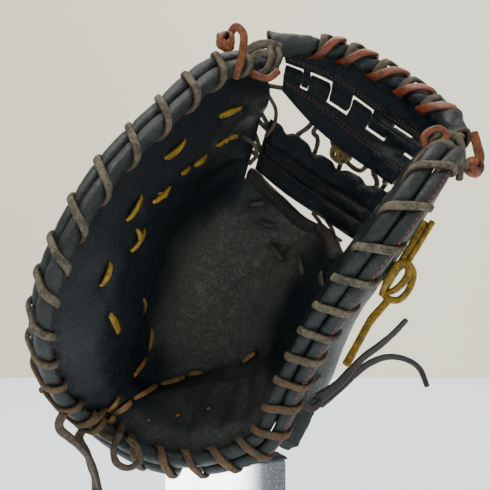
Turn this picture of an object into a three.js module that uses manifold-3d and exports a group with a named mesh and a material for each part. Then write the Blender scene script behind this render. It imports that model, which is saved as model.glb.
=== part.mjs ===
// First baseman mitt on a small display block, in millimetres, +Z up.
// The mitt is modelled in its own frame: x across, y behind the viewer's plane, z up.
// At the end everything is shifted so that the block stands centred on z = 0.

import * as THREE from "three";
import { mergeVertices } from "three/addons/utils/BufferGeometryUtils.js";
import Module from "manifold-3d";

const wasm = await Module();
wasm.setup();

// Driving sizes of the mitt
const mitt_width = 250;
const mitt_height = 280;
const rim_depth = 100;
const hand_room = 26;
const thumb_room = 18;

// Walls, paddings and clearances
const clearance = 0.3;
const palm_wall = 7;
const palm_edge_wall = 4;
const back_wall = 3.5;
const lobe_padding = 5;
const band_wall = 3.5;
const cross_band_wall = 9;
const strap_wall = 3;
const strap_lift = 12;

// Rolls and laces
const binding_diameter = 9;
const top_roll_diameter = 11.5;
const base_roll_diameter = 8;
const lace_width = 5.2;
const lace_thickness = 2;
const knot_diameter = 13;
const end_knot_diameter = 10;
const small_knot_diameter = 8;

// Where each rim lace passes through the leather, as places of the rim, from the heel upwards
const finger_holes = [6.93, 6.73, 6.4, 5.93, 5.5, 5.1, 4.63, 4.2, 3.77, 3.3, 2.8, 2.3, 1.8, 1.35, 0.77];
const thumb_holes = [
  7.5, 8.05, 8.57, 9.07, 9.57, 10.0, 10.43, 10.87, 11.3, 11.8, 12.23, 12.73, 13.2, 13.73, 14.4, 15.2,
];
const advance_in_front = 0.7;
const web_turns = 5;

// Display block
const block_side = 62;
const block_height = 90;
const block_turn = THREE.MathUtils.degToRad(27);
const block_across = -14.5;
const block_behind = 68;
const pad_height = 3;
const pad_overhang = 1.5;

// Rim of the mitt, from the finger tip down round the heel, up to the thumb tip and over the web.
// across is a share of the width, up of the height, and behind, flare and reach of the rim depth.
// flare is how far the wall swells outside the rim, reach how far straight back it starts,
// crease is where the lobe's padding begins, as a share of the way out from the pocket, floor is
// how far the flat floor reaches, and web_edge is where the pocket's top edge lies under the web.
const rim_headings = ["across", "up", "behind", "flare", "reach", "crease", "floor", "web_edge"];
const rim_places = {
  finger_tip: [0.044, 0.424, 0.34, -0.1, 0.35, 0.62, 0.6, 0.37],
  finger_1: [-0.063, 0.382, 0.06, -0.22, 0.4, 0.58, 0.7, 0.33],
  finger_2: [-0.181, 0.269, -0.22, -0.32, 0.45, 0.54, 0.8, 0.3],
  finger_3: [-0.3, 0.139, -0.42, -0.36, 0.48, 0.5, 0.86, 0.3],
  finger_4: [-0.391, -0.013, -0.52, -0.4, 0.48, 0.48, 0.86, 0.3],
  finger_5: [-0.44, -0.157, -0.44, -0.45, 0.32, 0.48, 0.8, 0.3],
  finger_6: [-0.439, -0.295, -0.14, -0.4, 0.2, 0.54, 0.68, 0.3],
  heel_corner: [-0.362, -0.402, 0.14, -0.28, 0.18, 0.6, 0.6, 0.3],
  heel_1: [-0.235, -0.47, 0.16, -0.18, 0.18, 0.42, 0.55, 0.3],
  heel_2: [-0.099, -0.481, 0.16, -0.18, 0.18, 0.38, 0.55, 0.3],
  heel_3: [0.042, -0.433, 0.14, -0.06, 0.26, 0.38, 0.55, 0.3],
  thumb_1: [0.107, -0.304, 0.0, 0.14, 0.45, 0.46, 0.55, 0.34],
  thumb_2: [0.163, -0.182, -0.22, 0.14, 0.6, 0.55, 0.55, 0.42],
  thumb_3: [0.236, -0.067, -0.44, 0.14, 0.7, 0.7, 0.55, 0.6],
  thumb_4: [0.325, 0.055, -0.58, 0.15, 0.78, 0.7, 0.55, 0.47],
  thumb_5: [0.408, 0.151, -0.46, 0.14, 0.7, 0.7, 0.55, 0.365],
  thumb_tip: [0.485, 0.227, -0.14, 0.14, 0.45, 0.7, 0.55, 0.3],
  web_1: [0.457, 0.324, 0.16, 0.06, 0.25, 0.7, 0.55, 0.27],
  web_2: [0.345, 0.409, 0.32, 0.04, 0.22, 0.7, 0.55, 0.275],
  web_3: [0.195, 0.467, 0.4, 0.04, 0.25, 0.7, 0.55, 0.3],
};
const rim_table = Object.values(rim_places);
const pocket_share = { across: -0.094, up: -0.14, behind: 0.85 };
const opening_way = new THREE.Vector3(-0.1, -0.99, 0.06).normalize();

// Rows of the web, each with four places from the finger side to the thumb side.
// A place is across, up and behind, in the same shares.
const web_table = {
  top_roll: [[0.091, 0.463, 0.38], [0.247, 0.453, 0.4], [0.395, 0.371, 0.3], [0.491, 0.272, 0.02]],
  hinge_upper: [[0.102, 0.429, 0.44], [0.233, 0.385, 0.48], [0.361, 0.301, 0.42], [0.459, 0.215, 0.18]],
  hinge_lower: [[0.097, 0.397, 0.46], [0.223, 0.346, 0.5], [0.344, 0.267, 0.44], [0.441, 0.185, 0.2]],
  lower_edge: [[0.096, 0.368, 0.5], [0.185, 0.286, 0.56], [0.286, 0.213, 0.54], [0.381, 0.135, 0.32]],
  cross_top: [[0.062, 0.298, 0.56], [0.163, 0.245, 0.62], [0.272, 0.18, 0.62], [0.374, 0.114, 0.42]],
  cross_low: [[0.025, 0.189, 0.66], [0.111, 0.129, 0.74], [0.206, 0.072, 0.74], [0.292, 0.012, 0.54]],
};

// Splines
function spline(values, x, closed) {
  const count = values.length;
  const last = closed ? count : count - 1;
  const at = closed ? ((x % count) + count) % count : Math.min(Math.max(x, 0), last);
  const cell = Math.min(Math.floor(at), last - 1);
  const t = at - cell;
  const pick = (k) => {
    if (closed) return values[(k + count) % count];
    if (k < 0) return 2 * values[0] - values[1];
    if (k > last) return 2 * values[last] - values[last - 1];
    return values[k];
  };
  const [a, b, c, d] = [pick(cell - 1), pick(cell), pick(cell + 1), pick(cell + 2)];
  return 0.5 * (2 * b + (c - a) * t + (2 * a - 5 * b + 4 * c - d) * t * t + (3 * b - a - 3 * c + d) * t ** 3);
}

function smooth(low, high, x) {
  return THREE.MathUtils.smoothstep(x, low, high);
}

function place(across, behind, up) {
  return new THREE.Vector3(across * mitt_width, behind * rim_depth, up * mitt_height);
}

function rimColumn(column, u) {
  const heading = rim_headings.indexOf(column);
  return spline(rim_table.map((row) => row[heading]), u, true);
}

function rimPoint(u) {
  return place(rimColumn("across", u), rimColumn("behind", u), rimColumn("up", u));
}

// The bowl: the parting surface between the palm leather and the back, u round the rim, r outwards
const pocket_centre = place(pocket_share.across, pocket_share.behind, pocket_share.up);

function bowl(u, r) {
  const to_rim = rimPoint(u).sub(pocket_centre);
  const height = to_rim.dot(opening_way);
  const sideways = to_rim.addScaledVector(opening_way, -height);
  const radius = sideways.length();
  const way = sideways.divideScalar(radius);
  const flare = rimColumn("flare", u) * rim_depth;
  const reach = rimColumn("reach", u) * rim_depth;
  const floor = rimColumn("floor", u);
  const near = 3 * r * (1 - r) ** 2;
  const far = 3 * r * r * (1 - r);
  const end = r ** 3;
  return pocket_centre
    .clone()
    .addScaledVector(way, near * floor * radius + far * (radius + flare) + end * radius)
    .addScaledVector(opening_way, far * (height - reach) + end * height);
}

const small_step = 0.01;

function bowlNormal(u, r) {
  if (r < 2 * small_step) return opening_way.clone();
  const along = bowl(u + small_step, r).sub(bowl(u - small_step, r));
  const outward = bowl(u, r).sub(bowl(u, r - small_step));
  return outward.cross(along).normalize();
}

// Columns round the rim, and the rim's own frames at them
const columns_per_place = 2;
const rim_columns = rim_table.length * columns_per_place;
const tip_column = 16 * columns_per_place;
const seam_column = 8.5 * columns_per_place;

function columnPlace(column) {
  return column / columns_per_place;
}

const rim_frames = [...Array(rim_columns).keys()].map((column) => {
  const u = columnPlace(column);
  const at = rimPoint(u);
  const along = rimPoint(u + small_step).sub(rimPoint(u - small_step)).normalize();
  const facing = bowlNormal(u, 1);
  facing.addScaledVector(along, -facing.dot(along)).normalize();
  const outward = along.clone().cross(facing);
  return { at, along, facing, outward };
});

// A place near the rim: out is outwards from the seam, face is towards the palm side
function nearRim(column, out, face) {
  const whole = Math.floor(column);
  const share = column - whole;
  const corner = (k) => {
    const frame = rim_frames[((k % rim_columns) + rim_columns) % rim_columns];
    return frame.at.clone().addScaledVector(frame.outward, out).addScaledVector(frame.facing, face);
  };
  return share === 0 ? corner(whole) : corner(whole).lerp(corner(whole + 1), share);
}

function nearRimWay(column, out, face) {
  return nearRim(column, out, face).sub(nearRim(column, 0, 0)).normalize();
}

const binding_radius = binding_diameter / 2;
const roll_face = binding_radius + clearance / 2;
const lace_ease = 0.9;
const lace_out = binding_radius + clearance + lace_ease + lace_thickness / 2;
const edge_out = -(binding_radius + clearance);
const last_row_distance = 15;

// How far out the row next to the edge lies, as a share of the way from the pocket
function lastRow(u) {
  let r = 1;
  let length = 0;
  let before = bowl(u, r);
  while (length < last_row_distance && r > 0.5) {
    r -= small_step;
    const here = bowl(u, r);
    length += here.distanceTo(before);
    before = here;
  }
  return r;
}

const last_rows = [...Array(rim_columns).keys()].map((column) => lastRow(columnPlace(column)));

function lastRowAt(u) {
  return spline(last_rows, u * columns_per_place, true);
}

// Thickness of the palm leather: a plain floor, padded lobes outside the crease and a thin edge
const crease_softness = 0.12;
const padding_end = { from: 0.78, to: 0.98 };
const thin_from = 0.8;

function palmDepth(u, r) {
  const crease = rimColumn("crease", u);
  const padded = smooth(crease, crease + crease_softness, r);
  const swell = padded * (1 - smooth(padding_end.from, padding_end.to, r));
  const thin = smooth(thin_from, 1, r);
  return palm_wall + (palm_edge_wall - palm_wall) * thin + lobe_padding * swell;
}

// Room for the hand between the palm leather and the back leather
const thumb_room_from = 11;
const thumb_room_to = 13;
const full_room_at = 0.38;
const palm_narrowing = { share: 0.35, from: 0.5, to: 0.75 };

function backRoom(u, r) {
  const inwards = 1 - r;
  const room = THREE.MathUtils.lerp(hand_room, thumb_room, smooth(thumb_room_from, thumb_room_to, u));
  const narrowing = 1 - palm_narrowing.share * smooth(palm_narrowing.from, palm_narrowing.to, inwards);
  return clearance + room * smooth(0, full_room_at, inwards) * narrowing;
}

function onPalm(u, r, depth) {
  return bowl(u, r).addScaledVector(bowlNormal(u, r), depth);
}

// Geometry from index lists, turned the right way out
function signedVolume(points, faces) {
  return faces.reduce((sum, [a, b, c]) => sum + points[a].dot(points[b].clone().cross(points[c])) / 6, 0);
}

function toGeometry(points, faces) {
  const outward = signedVolume(points, faces) > 0 ? faces : faces.map(([a, b, c]) => [a, c, b]);
  const geometry = new THREE.BufferGeometry();
  geometry.setAttribute("position", new THREE.Float32BufferAttribute(points.flatMap((p) => p.toArray()), 3));
  geometry.setIndex(outward.flat());
  return geometry;
}

// A wall between a front and a back sheet, on a grid of columns and rows.
// leather(column, row) tells which cells are there, and each open border gets its own side wall.
function wall({ columns, rows, closed = false, pole = false, front, back, leather = () => true }) {
  const points = [];
  const found = new Map();
  const point = (side, column, row) => {
    const wrapped = closed ? column % columns : column;
    const key = pole && row === 0 ? `${side} pole` : `${side} ${wrapped} ${row}`;
    if (!found.has(key)) {
      found.set(key, points.length);
      points.push(side === "front" ? front(wrapped, row) : back(wrapped, row));
    }
    return found.get(key);
  };
  const there = (column, row) => {
    if (row < 0 || row >= rows) return false;
    if (!closed && (column < 0 || column >= columns)) return false;
    return leather((column + columns) % columns, row);
  };
  const faces = [];
  const quad = (a, b, c, d) => {
    if (a !== b && b !== c && c !== a) faces.push([a, b, c]);
    if (a !== c && c !== d && d !== a) faces.push([a, c, d]);
  };
  for (let column = 0; column < columns; column += 1) {
    for (let row = 0; row < rows; row += 1) {
      if (!there(column, row)) continue;
      const corners = [[column, row], [column, row + 1], [column + 1, row + 1], [column + 1, row]];
      const beyond = [[column - 1, row], [column, row + 1], [column + 1, row], [column, row - 1]];
      const ahead = corners.map(([i, j]) => point("front", i, j));
      const behind = corners.map(([i, j]) => point("back", i, j));
      quad(...ahead);
      quad(...behind.slice().reverse());
      beyond.forEach(([i, j], edge) => {
        if (there(i, j) || (pole && row === 0 && edge === 3)) return;
        const next = (edge + 1) % 4;
        quad(ahead[next], ahead[edge], behind[edge], behind[next]);
      });
    }
  }
  return toGeometry(points, faces);
}

// A solid through rings of points, with flat ends
function loft(rings) {
  const sides = rings[0].length;
  const points = rings.flat();
  const faces = [];
  for (let ring = 0; ring < rings.length - 1; ring += 1) {
    for (let side = 0; side < sides; side += 1) {
      const next = (side + 1) % sides;
      const [a, b] = [ring * sides + side, ring * sides + next];
      faces.push([a, b, b + sides], [a, b + sides, a + sides]);
    }
  }
  const last = (rings.length - 1) * sides;
  for (let side = 1; side < sides - 1; side += 1) {
    faces.push([0, side + 1, side], [last, last + side, last + side + 1]);
  }
  return toGeometry(points, faces);
}

// Way along a path of points, halfway between the stretch before and the stretch after
function waysAlong(points) {
  return points.map((point, k) => {
    const before = k > 0 ? point.clone().sub(points[k - 1]).normalize() : null;
    const after = k < points.length - 1 ? points[k + 1].clone().sub(point).normalize() : null;
    if (!before) return { way: after, mitre: 1 };
    if (!after) return { way: before, mitre: 1 };
    const way = before.clone().add(after).normalize();
    return { way, mitre: 1 / Math.max(way.dot(after), 0.6) };
  });
}

// A flat lace along a path; up gives, at each point, which way the flat side looks
function ribbon(points, ups, width = lace_width, thickness = lace_thickness) {
  const ways = waysAlong(points);
  return loft(
    points.map((point, k) => {
      const { way, mitre } = ways[k];
      const side = ups[k].clone().cross(way).normalize().multiplyScalar(width / 2);
      const up = way.clone().cross(side).normalize().multiplyScalar((thickness * mitre) / 2);
      return [[-1, -1], [1, -1], [1, 1], [-1, 1]].map(([s, t]) =>
        point.clone().addScaledVector(side, s).addScaledVector(up, t),
      );
    }),
  );
}

// A roll along a path, with its own axes at each point
const roll_sides = 6;

function roll(points, axes, diameter, sides = roll_sides) {
  return loft(
    points.map((point, k) =>
      [...Array(sides).keys()].map((side) => {
        const angle = (side / sides) * Math.PI * 2;
        return point
          .clone()
          .addScaledVector(axes[k][0], (Math.cos(angle) * diameter) / 2)
          .addScaledVector(axes[k][1], (Math.sin(angle) * diameter) / 2);
      }),
    ),
  );
}

// Manifold solids, for the holes that the laces pass through
function toSolid(geometry) {
  const merged = mergeVertices(geometry.clone().deleteAttribute("normal").deleteAttribute("uv"), 1e-4);
  return new wasm.Manifold(
    new wasm.Mesh({
      numProp: 3,
      vertProperties: merged.attributes.position.array,
      triVerts: new Uint32Array(merged.index.array),
    }),
  );
}

function fromSolid(solid) {
  const mesh = solid.getMesh();
  const geometry = new THREE.BufferGeometry();
  const places = new Float32Array(mesh.numVert * 3);
  for (let k = 0; k < mesh.numVert; k += 1) {
    const start = k * mesh.numProp;
    places.set(mesh.vertProperties.subarray(start, start + 3), 3 * k);
  }
  geometry.setAttribute("position", new THREE.BufferAttribute(places, 3));
  geometry.setIndex([...mesh.triVerts]);
  return geometry;
}

const finest_detail = 0.1;

function carve(geometry, tools) {
  const cut = tools.reduce((solid, tool) => solid.subtract(toSolid(tool)), toSolid(geometry));
  const pieces = cut.simplify(finest_detail).decompose();
  return fromSolid(pieces.sort((a, b) => b.volume() - a.volume())[0]);
}

// The tool that cuts a lace's holes and grooves: the lace with room round it
function laceRoom({ points, ups, width = lace_width, thickness = lace_thickness }) {
  const room = 3 * clearance;
  return ribbon(points, ups, width + room, thickness + room);
}

function fuse(geometries) {
  const joined = geometries.reduce((solid, geometry) => {
    const next = toSolid(geometry);
    return solid ? solid.add(next) : next;
  }, null);
  return fromSolid(joined.simplify(finest_detail).decompose().sort((a, b) => b.volume() - a.volume())[0]);
}

// A smooth path through hand-chosen points
function through(points, steps) {
  return new THREE.CatmullRomCurve3(points, false, "centripetal").getPoints(steps);
}

function knotBall(centre, diameter) {
  return new THREE.IcosahedronGeometry(diameter / 2, 1).translate(...centre.toArray());
}

// The palm leather
const palm_rows = [0, 0.18, 0.32, 0.48, 0.64, 0.82, 1];
const web_edge_row = 2;

// Towards the thumb side of the web the grid leans over, so that the pocket's top edge
// meets the thumb lobe low down. Columns lean by places of the rim, rows move outwards.
const web_lean = 2.6;
const lean_columns = 5.5 * columns_per_place;
const edge_share = palm_rows[web_edge_row];

function palmPlace(column, share) {
  const rising = smooth(tip_column - lean_columns, tip_column, column);
  const falling = 1 - (column - tip_column) / (rim_columns - tip_column);
  const near = column <= tip_column ? rising : falling;
  const u = columnPlace(column) - web_lean * near * (1 - smooth(0.4, 1, share));
  const edge = rimColumn("web_edge", u);
  const beyond = Math.max(share - edge_share, 0) / (1 - edge_share);
  return [u, Math.min(share / edge_share, 1) * edge + beyond * (lastRowAt(u) - edge)];
}

function palmPoint(column, row, side) {
  if (row === palm_rows.length) {
    return nearRim(column, edge_out, side === "front" ? clearance / 2 + palm_edge_wall : clearance / 2);
  }
  const [u, r] = palmPlace(column, palm_rows[row]);
  return onPalm(u, r, side === "front" ? palmDepth(u, r) : clearance / 2);
}

function palmShell() {
  return wall({
    columns: rim_columns,
    rows: palm_rows.length,
    closed: true,
    pole: true,
    front: (column, row) => palmPoint(column, row, "front"),
    back: (column, row) => palmPoint(column, row, "back"),
    leather: (column, row) => column < tip_column || row < web_edge_row,
  });
}

// The leather of the back, over the finger lobe or over the thumb lobe
const back_rows = [0.34, 0.55, 0.78, 1];
const finger_back_columns = [0.5, 7.5].map((u) => u * columns_per_place);
const thumb_back_columns = [10.5, 15.5].map((u) => u * columns_per_place);

function backShell([first, last]) {
  const point = (column, row, depth) => {
    if (row === back_rows.length) return nearRim(first + column, edge_out, -clearance / 2 - depth);
    const [u, r] = palmPlace(first + column, back_rows[row]);
    return onPalm(u, r, -backRoom(u, r) - depth);
  };
  return wall({
    columns: last - first,
    rows: back_rows.length,
    front: (column, row) => point(column, row, 0),
    back: (column, row) => point(column, row, back_wall),
  });
}

// The strap over the wrist, outside both backs
const strap_places = { first: 5.4, last: 12.4, inner: 0.34, outer: 0.6 };
const strap_columns = 16;
const strap_rows = 3;
const strap_rise = { from: 0.15, to: 0.5 };

function wristStrap() {
  const point = (column, row, depth) => {
    const share = column / strap_columns;
    const u = THREE.MathUtils.lerp(strap_places.first, strap_places.last, share);
    const r = THREE.MathUtils.lerp(strap_places.inner, strap_places.outer, row / strap_rows) * lastRowAt(u);
    const rising = (x) => smooth(strap_rise.from, strap_rise.to, x);
    const lift = strap_lift * rising(share) * rising(1 - share);
    return onPalm(u, r, -backRoom(u, r) - back_wall - 3 * clearance - lift - depth);
  };
  return wall({
    columns: strap_columns,
    rows: strap_rows,
    front: (column, row) => point(column, row, 0),
    back: (column, row) => point(column, row, strap_wall),
  });
}

// Rolled bindings beside the rim's seam: face is +1 on the palm side and -1 on the back
function binding([first, last], face) {
  const columns = [...Array(last - first + 1).keys()].map((k) => first + k);
  return roll(
    columns.map((column) => nearRim(column, 0, face * roll_face)),
    columns.map((column) => [nearRimWay(column, 1, 0), nearRimWay(column, 0, 1)]),
    binding_diameter,
  );
}

// A lace that winds round both bindings and passes through the leather once in each turn.
// from and to are rim columns, so the lace may run either way round.
const turn_steps = [60, 120, 180].map(THREE.MathUtils.degToRad);

function rimLacePath(places) {
  const points = [];
  const ups = [];
  const add = (column, out, face, up_out, up_face) => {
    points.push(nearRim(column, out, face));
    ups.push(nearRimWay(column, up_out, up_face));
  };
  places.forEach((place_of_hole, k) => {
    const hole = place_of_hole * columns_per_place;
    const last = k === places.length - 1;
    const next = (last ? 2 * place_of_hole - places[k - 1] : places[k + 1]) * columns_per_place;
    const outside = THREE.MathUtils.lerp(hole, next, advance_in_front);
    add(hole, -lace_out, -roll_face, -1, 0);
    add(hole, -lace_out, roll_face, -1, 0);
    for (const angle of turn_steps) {
      const [out, face] = [-Math.cos(angle), Math.sin(angle)];
      const column = THREE.MathUtils.lerp(hole, outside, angle / Math.PI);
      add(column, lace_out * out, roll_face + lace_out * face, out, face);
    }
    if (last) return;
    for (const angle of [...turn_steps].reverse()) {
      const [out, face] = [-Math.cos(angle), -Math.sin(angle)];
      const column = THREE.MathUtils.lerp(next, outside, angle / Math.PI);
      add(column, lace_out * out, lace_out * face - roll_face, out, face);
    }
  });
  return { points, ups };
}

// Laces woven through the palm: each row is a stitch seen in front, between two places of the bowl
const woven_laces = {
  finger_lace_outer: [
    { from: [0.8, 0.78], to: [1.45, 0.84] },
    { from: [1.95, 0.87], to: [2.3, 0.88] },
    { from: [2.9, 0.86], to: [3.3, 0.87] },
    { from: [3.9, 0.86], to: [4.25, 0.85] },
    { from: [4.7, 0.8], to: [5.15, 0.72] },
  ],
  finger_lace_inner: [
    { from: [0.9, 0.66], to: [1.5, 0.69] },
    { from: [1.75, 0.71], to: [2.2, 0.77] },
    { from: [2.5, 0.79], to: [2.95, 0.8] },
    { from: [3.25, 0.79], to: [3.65, 0.8] },
  ],
  finger_crease_lace: [
    { from: [6.8, 0.56], to: [6.45, 0.5] },
    { from: [6.25, 0.44], to: [5.55, 0.42] },
    { from: [4.75, 0.6], to: [4.45, 0.62] },
    { from: [4.05, 0.7], to: [3.8, 0.74] },
  ],
  heel_crease_lace: [
    { from: [6.8, 0.89], to: [6.72, 0.85] },
    { from: [6.66, 0.8], to: [6.72, 0.71] },
    { from: [7.0, 0.61], to: [7.2, 0.53] },
    { from: [7.4, 0.47], to: [8.1, 0.38] },
    { from: [9.95, 0.34], to: [10.9, 0.41] },
  ],
  pocket_lace: [
    { from: [19.2, 0.24], to: [18.6, 0.26] },
    { from: [18.6, 0.2], to: [17.7, 0.23] },
    { from: [17.1, 0.19], to: [15.2, 0.21] },
    { from: [14.6, 0.3], to: [13.4, 0.38] },
    { from: [13.2, 0.47], to: [12.75, 0.6] },
  ],
};
const lace_rise = 2 * clearance;

function wovenPath(stitches) {
  const points = [];
  const ups = [];
  const deeper = lace_rise + lace_thickness / 2;
  const add = (u, r, depth, up) => {
    points.push(onPalm(u, r, depth));
    ups.push(up);
  };
  const between = (a, b, share) => a.map((start, k) => THREE.MathUtils.lerp(start, b[k], share));
  const front = (u, r) => palmDepth(u, r) + deeper;
  const behind = clearance / 2 - deeper;
  stitches.forEach(({ from, to }, k) => {
    const way = onPalm(...to, 0).sub(onPalm(...from, 0)).normalize();
    if (k > 0) {
      const before = stitches[k - 1].to;
      const halfway = between(before, from, 0.5);
      add(...halfway, behind, bowlNormal(...halfway));
      add(...from, behind, bowlNormal(...from).sub(way));
    } else {
      add(...from, behind - 2 * lace_thickness, way.clone().negate());
    }
    add(...from, front(...from), bowlNormal(...from).sub(way));
    const middle = between(from, to, 0.5);
    add(...middle, front(...middle), bowlNormal(...middle));
    add(...to, front(...to), bowlNormal(...to).add(way));
    if (k < stitches.length - 1) add(...to, behind, bowlNormal(...to).add(way));
    else add(...to, behind - 2 * lace_thickness, way);
  });
  return { points, ups };
}

// The web: s crosses from the finger side to the thumb side, t runs down the rows of its table
function webPoint(s, t) {
  const coordinate = (axis) => {
    const down = Object.values(web_table).map((places) =>
      spline(places.map((point) => point[axis]), s * (places.length - 1), false),
    );
    return spline(down, t, false);
  };
  return place(coordinate(0), coordinate(2), coordinate(1));
}

function webNormal(s, t) {
  const across = webPoint(Math.min(s + small_step, 1), t).sub(webPoint(Math.max(s - small_step, 0), t));
  const down = webPoint(s, Math.min(t + small_step, 5)).sub(webPoint(s, Math.max(t - small_step, 0)));
  return across.cross(down).negate().normalize();
}

function onWeb(s, t, depth) {
  return webPoint(s, t).addScaledVector(webNormal(s, t), depth);
}

const roll_steps = 14;
const top_roll_sides = 8;

// The row of the web just under the top roll
function underRoll(s) {
  return (top_roll_diameter / 2 + 2 * clearance) / webPoint(s, 0).distanceTo(webPoint(s, 1));
}

function webTopRoll() {
  const shares = [...Array(roll_steps + 1).keys()].map((k) => k / roll_steps);
  const points = shares.map((s) => webPoint(s, 0));
  const axes = shares.map((s, k) => {
    const { way } = waysAlong(points)[k];
    const face = webNormal(s, 0);
    const side = face.clone().cross(way).normalize();
    return [side, way.clone().cross(side).normalize()];
  });
  return roll(points, axes, top_roll_diameter, top_roll_sides);
}

// Hinge tabs: where each tab ends along the web, and which band it belongs to
const tab_table = [
  { until: 0.125, band: "lower" },
  { until: 0.175, band: "upper" },
  { until: 0.325, band: "lower" },
  { until: 0.47, band: "upper" },
  { until: 0.61, band: "lower" },
  { until: 0.755, band: "upper" },
  { until: 0.895, band: "lower" },
  { until: 1, band: "upper" },
];
const tab_gap_share = 0.009;
const tab_rows = { upper: [0, 0.6, 1, 1.94], lower: [1.22, 2.14, 2.6, 3] };
const band_span = [0.015, 0.985];

function hingedBand(band) {
  const edges = [0];
  const owners = [];
  tab_table.forEach(({ until, band: owner }, k) => {
    owners.push(owner);
    edges.push(k === tab_table.length - 1 ? until : until - tab_gap_share / 2);
    if (k < tab_table.length - 1) {
      owners.push("gap");
      edges.push(until + tab_gap_share / 2);
    }
  });
  const rows = tab_rows[band];
  const tab_row = band === "upper" ? rows.length - 2 : 0;
  const share = (column) => THREE.MathUtils.lerp(...band_span, edges[column]);
  const point = (column, row, depth) => {
    const s = share(column);
    return onWeb(s, Math.max(rows[row], underRoll(s)), depth);
  };
  return wall({
    columns: edges.length - 1,
    rows: rows.length - 1,
    front: (column, row) => point(column, row, band_wall / 2),
    back: (column, row) => point(column, row, -band_wall / 2),
    leather: (column, row) => row !== tab_row || owners[column] === band,
  });
}

// The padded cross band: rows of the web, and how much of the band's thickness each has
const cross_band_span = [0.03, 0.97];
const cross_band_columns = 12;
const cross_band_rows = [
  { row: 4, thick: 0.35 },
  { row: 4.12, thick: 0.8 },
  { row: 4.5, thick: 1 },
  { row: 4.88, thick: 0.8 },
  { row: 5, thick: 0.35 },
];

function webCrossBand() {
  const point = (column, index, face) => {
    const { row, thick } = cross_band_rows[index];
    const s = THREE.MathUtils.lerp(...cross_band_span, column / cross_band_columns);
    return onWeb(s, row, (face * thick * cross_band_wall) / 2);
  };
  return wall({
    columns: cross_band_columns,
    rows: cross_band_rows.length - 1,
    front: (column, row) => point(column, row, 1),
    back: (column, row) => point(column, row, -1),
  });
}

// The roll along the pocket's top edge, under the web
function webBaseRoll() {
  const columns = [];
  for (let column = tip_column + 1; column < rim_columns; column += 1) columns.push(column);
  const centres = columns.map((column) => {
    const ahead = palmPoint(column, web_edge_row, "front");
    const behind = palmPoint(column, web_edge_row, "back");
    const inside = palmPoint(column, web_edge_row - 1, "front");
    const out = ahead.clone().sub(inside).normalize();
    return ahead.lerp(behind, 0.5).addScaledVector(out, base_roll_diameter / 2 + 3 * clearance);
  });
  const axes = waysAlong(centres).map(({ way }, k) => {
    const face = bowlNormal(columnPlace(columns[k]), edge_share);
    const side = face.clone().cross(way).normalize();
    return [side, way.clone().cross(side).normalize()];
  });
  return roll(centres, axes, base_roll_diameter);
}

// The lace over the web's top roll: the upper turns cross over the lower ones
const web_turn_shares = { first: 0.17, pitch: 0.165 };
const turn_round = [0, 45, 90, 135, 180].map(THREE.MathUtils.degToRad);

function aroundRoll(s, down, face) {
  const way_down = webPoint(s, 1).sub(webPoint(s, 0)).normalize();
  return webPoint(s, 0).addScaledVector(way_down, down).addScaledVector(webNormal(s, 0), face);
}

function webLacePath({ offset, radius, front_share }) {
  const points = [];
  const ups = [];
  const add = (s, angle, side) => {
    points.push(aroundRoll(s, radius * Math.cos(angle), side * radius * Math.sin(angle)));
    ups.push(aroundRoll(s, Math.cos(angle), side * Math.sin(angle)).sub(webPoint(s, 0)));
  };
  for (let turn = 0; turn < web_turns; turn += 1) {
    const hole = web_turn_shares.first + offset + turn * web_turn_shares.pitch;
    const next = hole + web_turn_shares.pitch;
    const top = THREE.MathUtils.lerp(hole, next, front_share);
    for (const angle of turn_round) add(THREE.MathUtils.lerp(hole, top, angle / Math.PI), angle, 1);
    if (turn === web_turns - 1) break;
    for (const angle of [...turn_round].reverse().slice(1, -1)) {
      add(THREE.MathUtils.lerp(next, top, angle / Math.PI), angle, -1);
    }
  }
  return { points, ups };
}

const close_radius = top_roll_diameter / 2 + clearance + lace_ease + lace_thickness / 2;
const over_radius = close_radius + lace_thickness + lace_ease + 2 * clearance;

// Laces behind the web, from band to band and to the lobes beside it
const tie_width = 4;
const tie_thickness = 2.2;
const side_tie_steps = 20;
const back_tie_steps = 26;
const open_row = 3.5;
const toward_viewer = new THREE.Vector3(0, -1, 0);

function behindWeb(s, t) {
  const wall_here = t < open_row ? band_wall : cross_band_wall;
  return onWeb(s, t, -wall_here / 2 - 2 * clearance - tie_thickness / 2);
}

function behindLobe(column, share) {
  return onPalm(...palmPlace(column, share), -clearance - tie_thickness / 2);
}

function tie(points, steps) {
  const path = through(points, steps);
  return { points: path, ups: path.map(() => toward_viewer), width: tie_width, thickness: tie_thickness };
}

function lace({ points, ups, width, thickness }) {
  return ribbon(points, ups, width, thickness);
}

function webSideTie(column, s) {
  return tie(
    [
      behindWeb(s, 2.7),
      behindLobe(column, 0.9),
      behindWeb(s, 4.2),
      behindLobe(column, 0.7),
      behindWeb(s, 4.75),
      behindLobe(column, 0.5),
    ],
    side_tie_steps,
  );
}

const back_knot_place = [0.56, 3.55];
const back_tie_places = [
  [0.25, 4.2],
  [0.28, 2.8],
  [0.35, 2.8],
  [0.41, 4.25],
  back_knot_place,
  [0.76, 2.8],
  [0.84, 2.8],
  [0.88, 4.2],
];

function webBackTie() {
  return tie(back_tie_places.map(([s, t]) => behindWeb(s, t)), back_tie_steps);
}

// Outside of the back, for what is tied on there
function onBack(u, r, out) {
  return onPalm(u, r, -backRoom(u, r) - back_wall - out);
}

const tied_on = clearance + lace_thickness / 2;

function laceThrough(points, steps, up) {
  const path = through(points, steps);
  return ribbon(path, path.map(() => up));
}

const vectors = (rows) => rows.map(([x, y, z]) => new THREE.Vector3(x, y, z));

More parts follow.
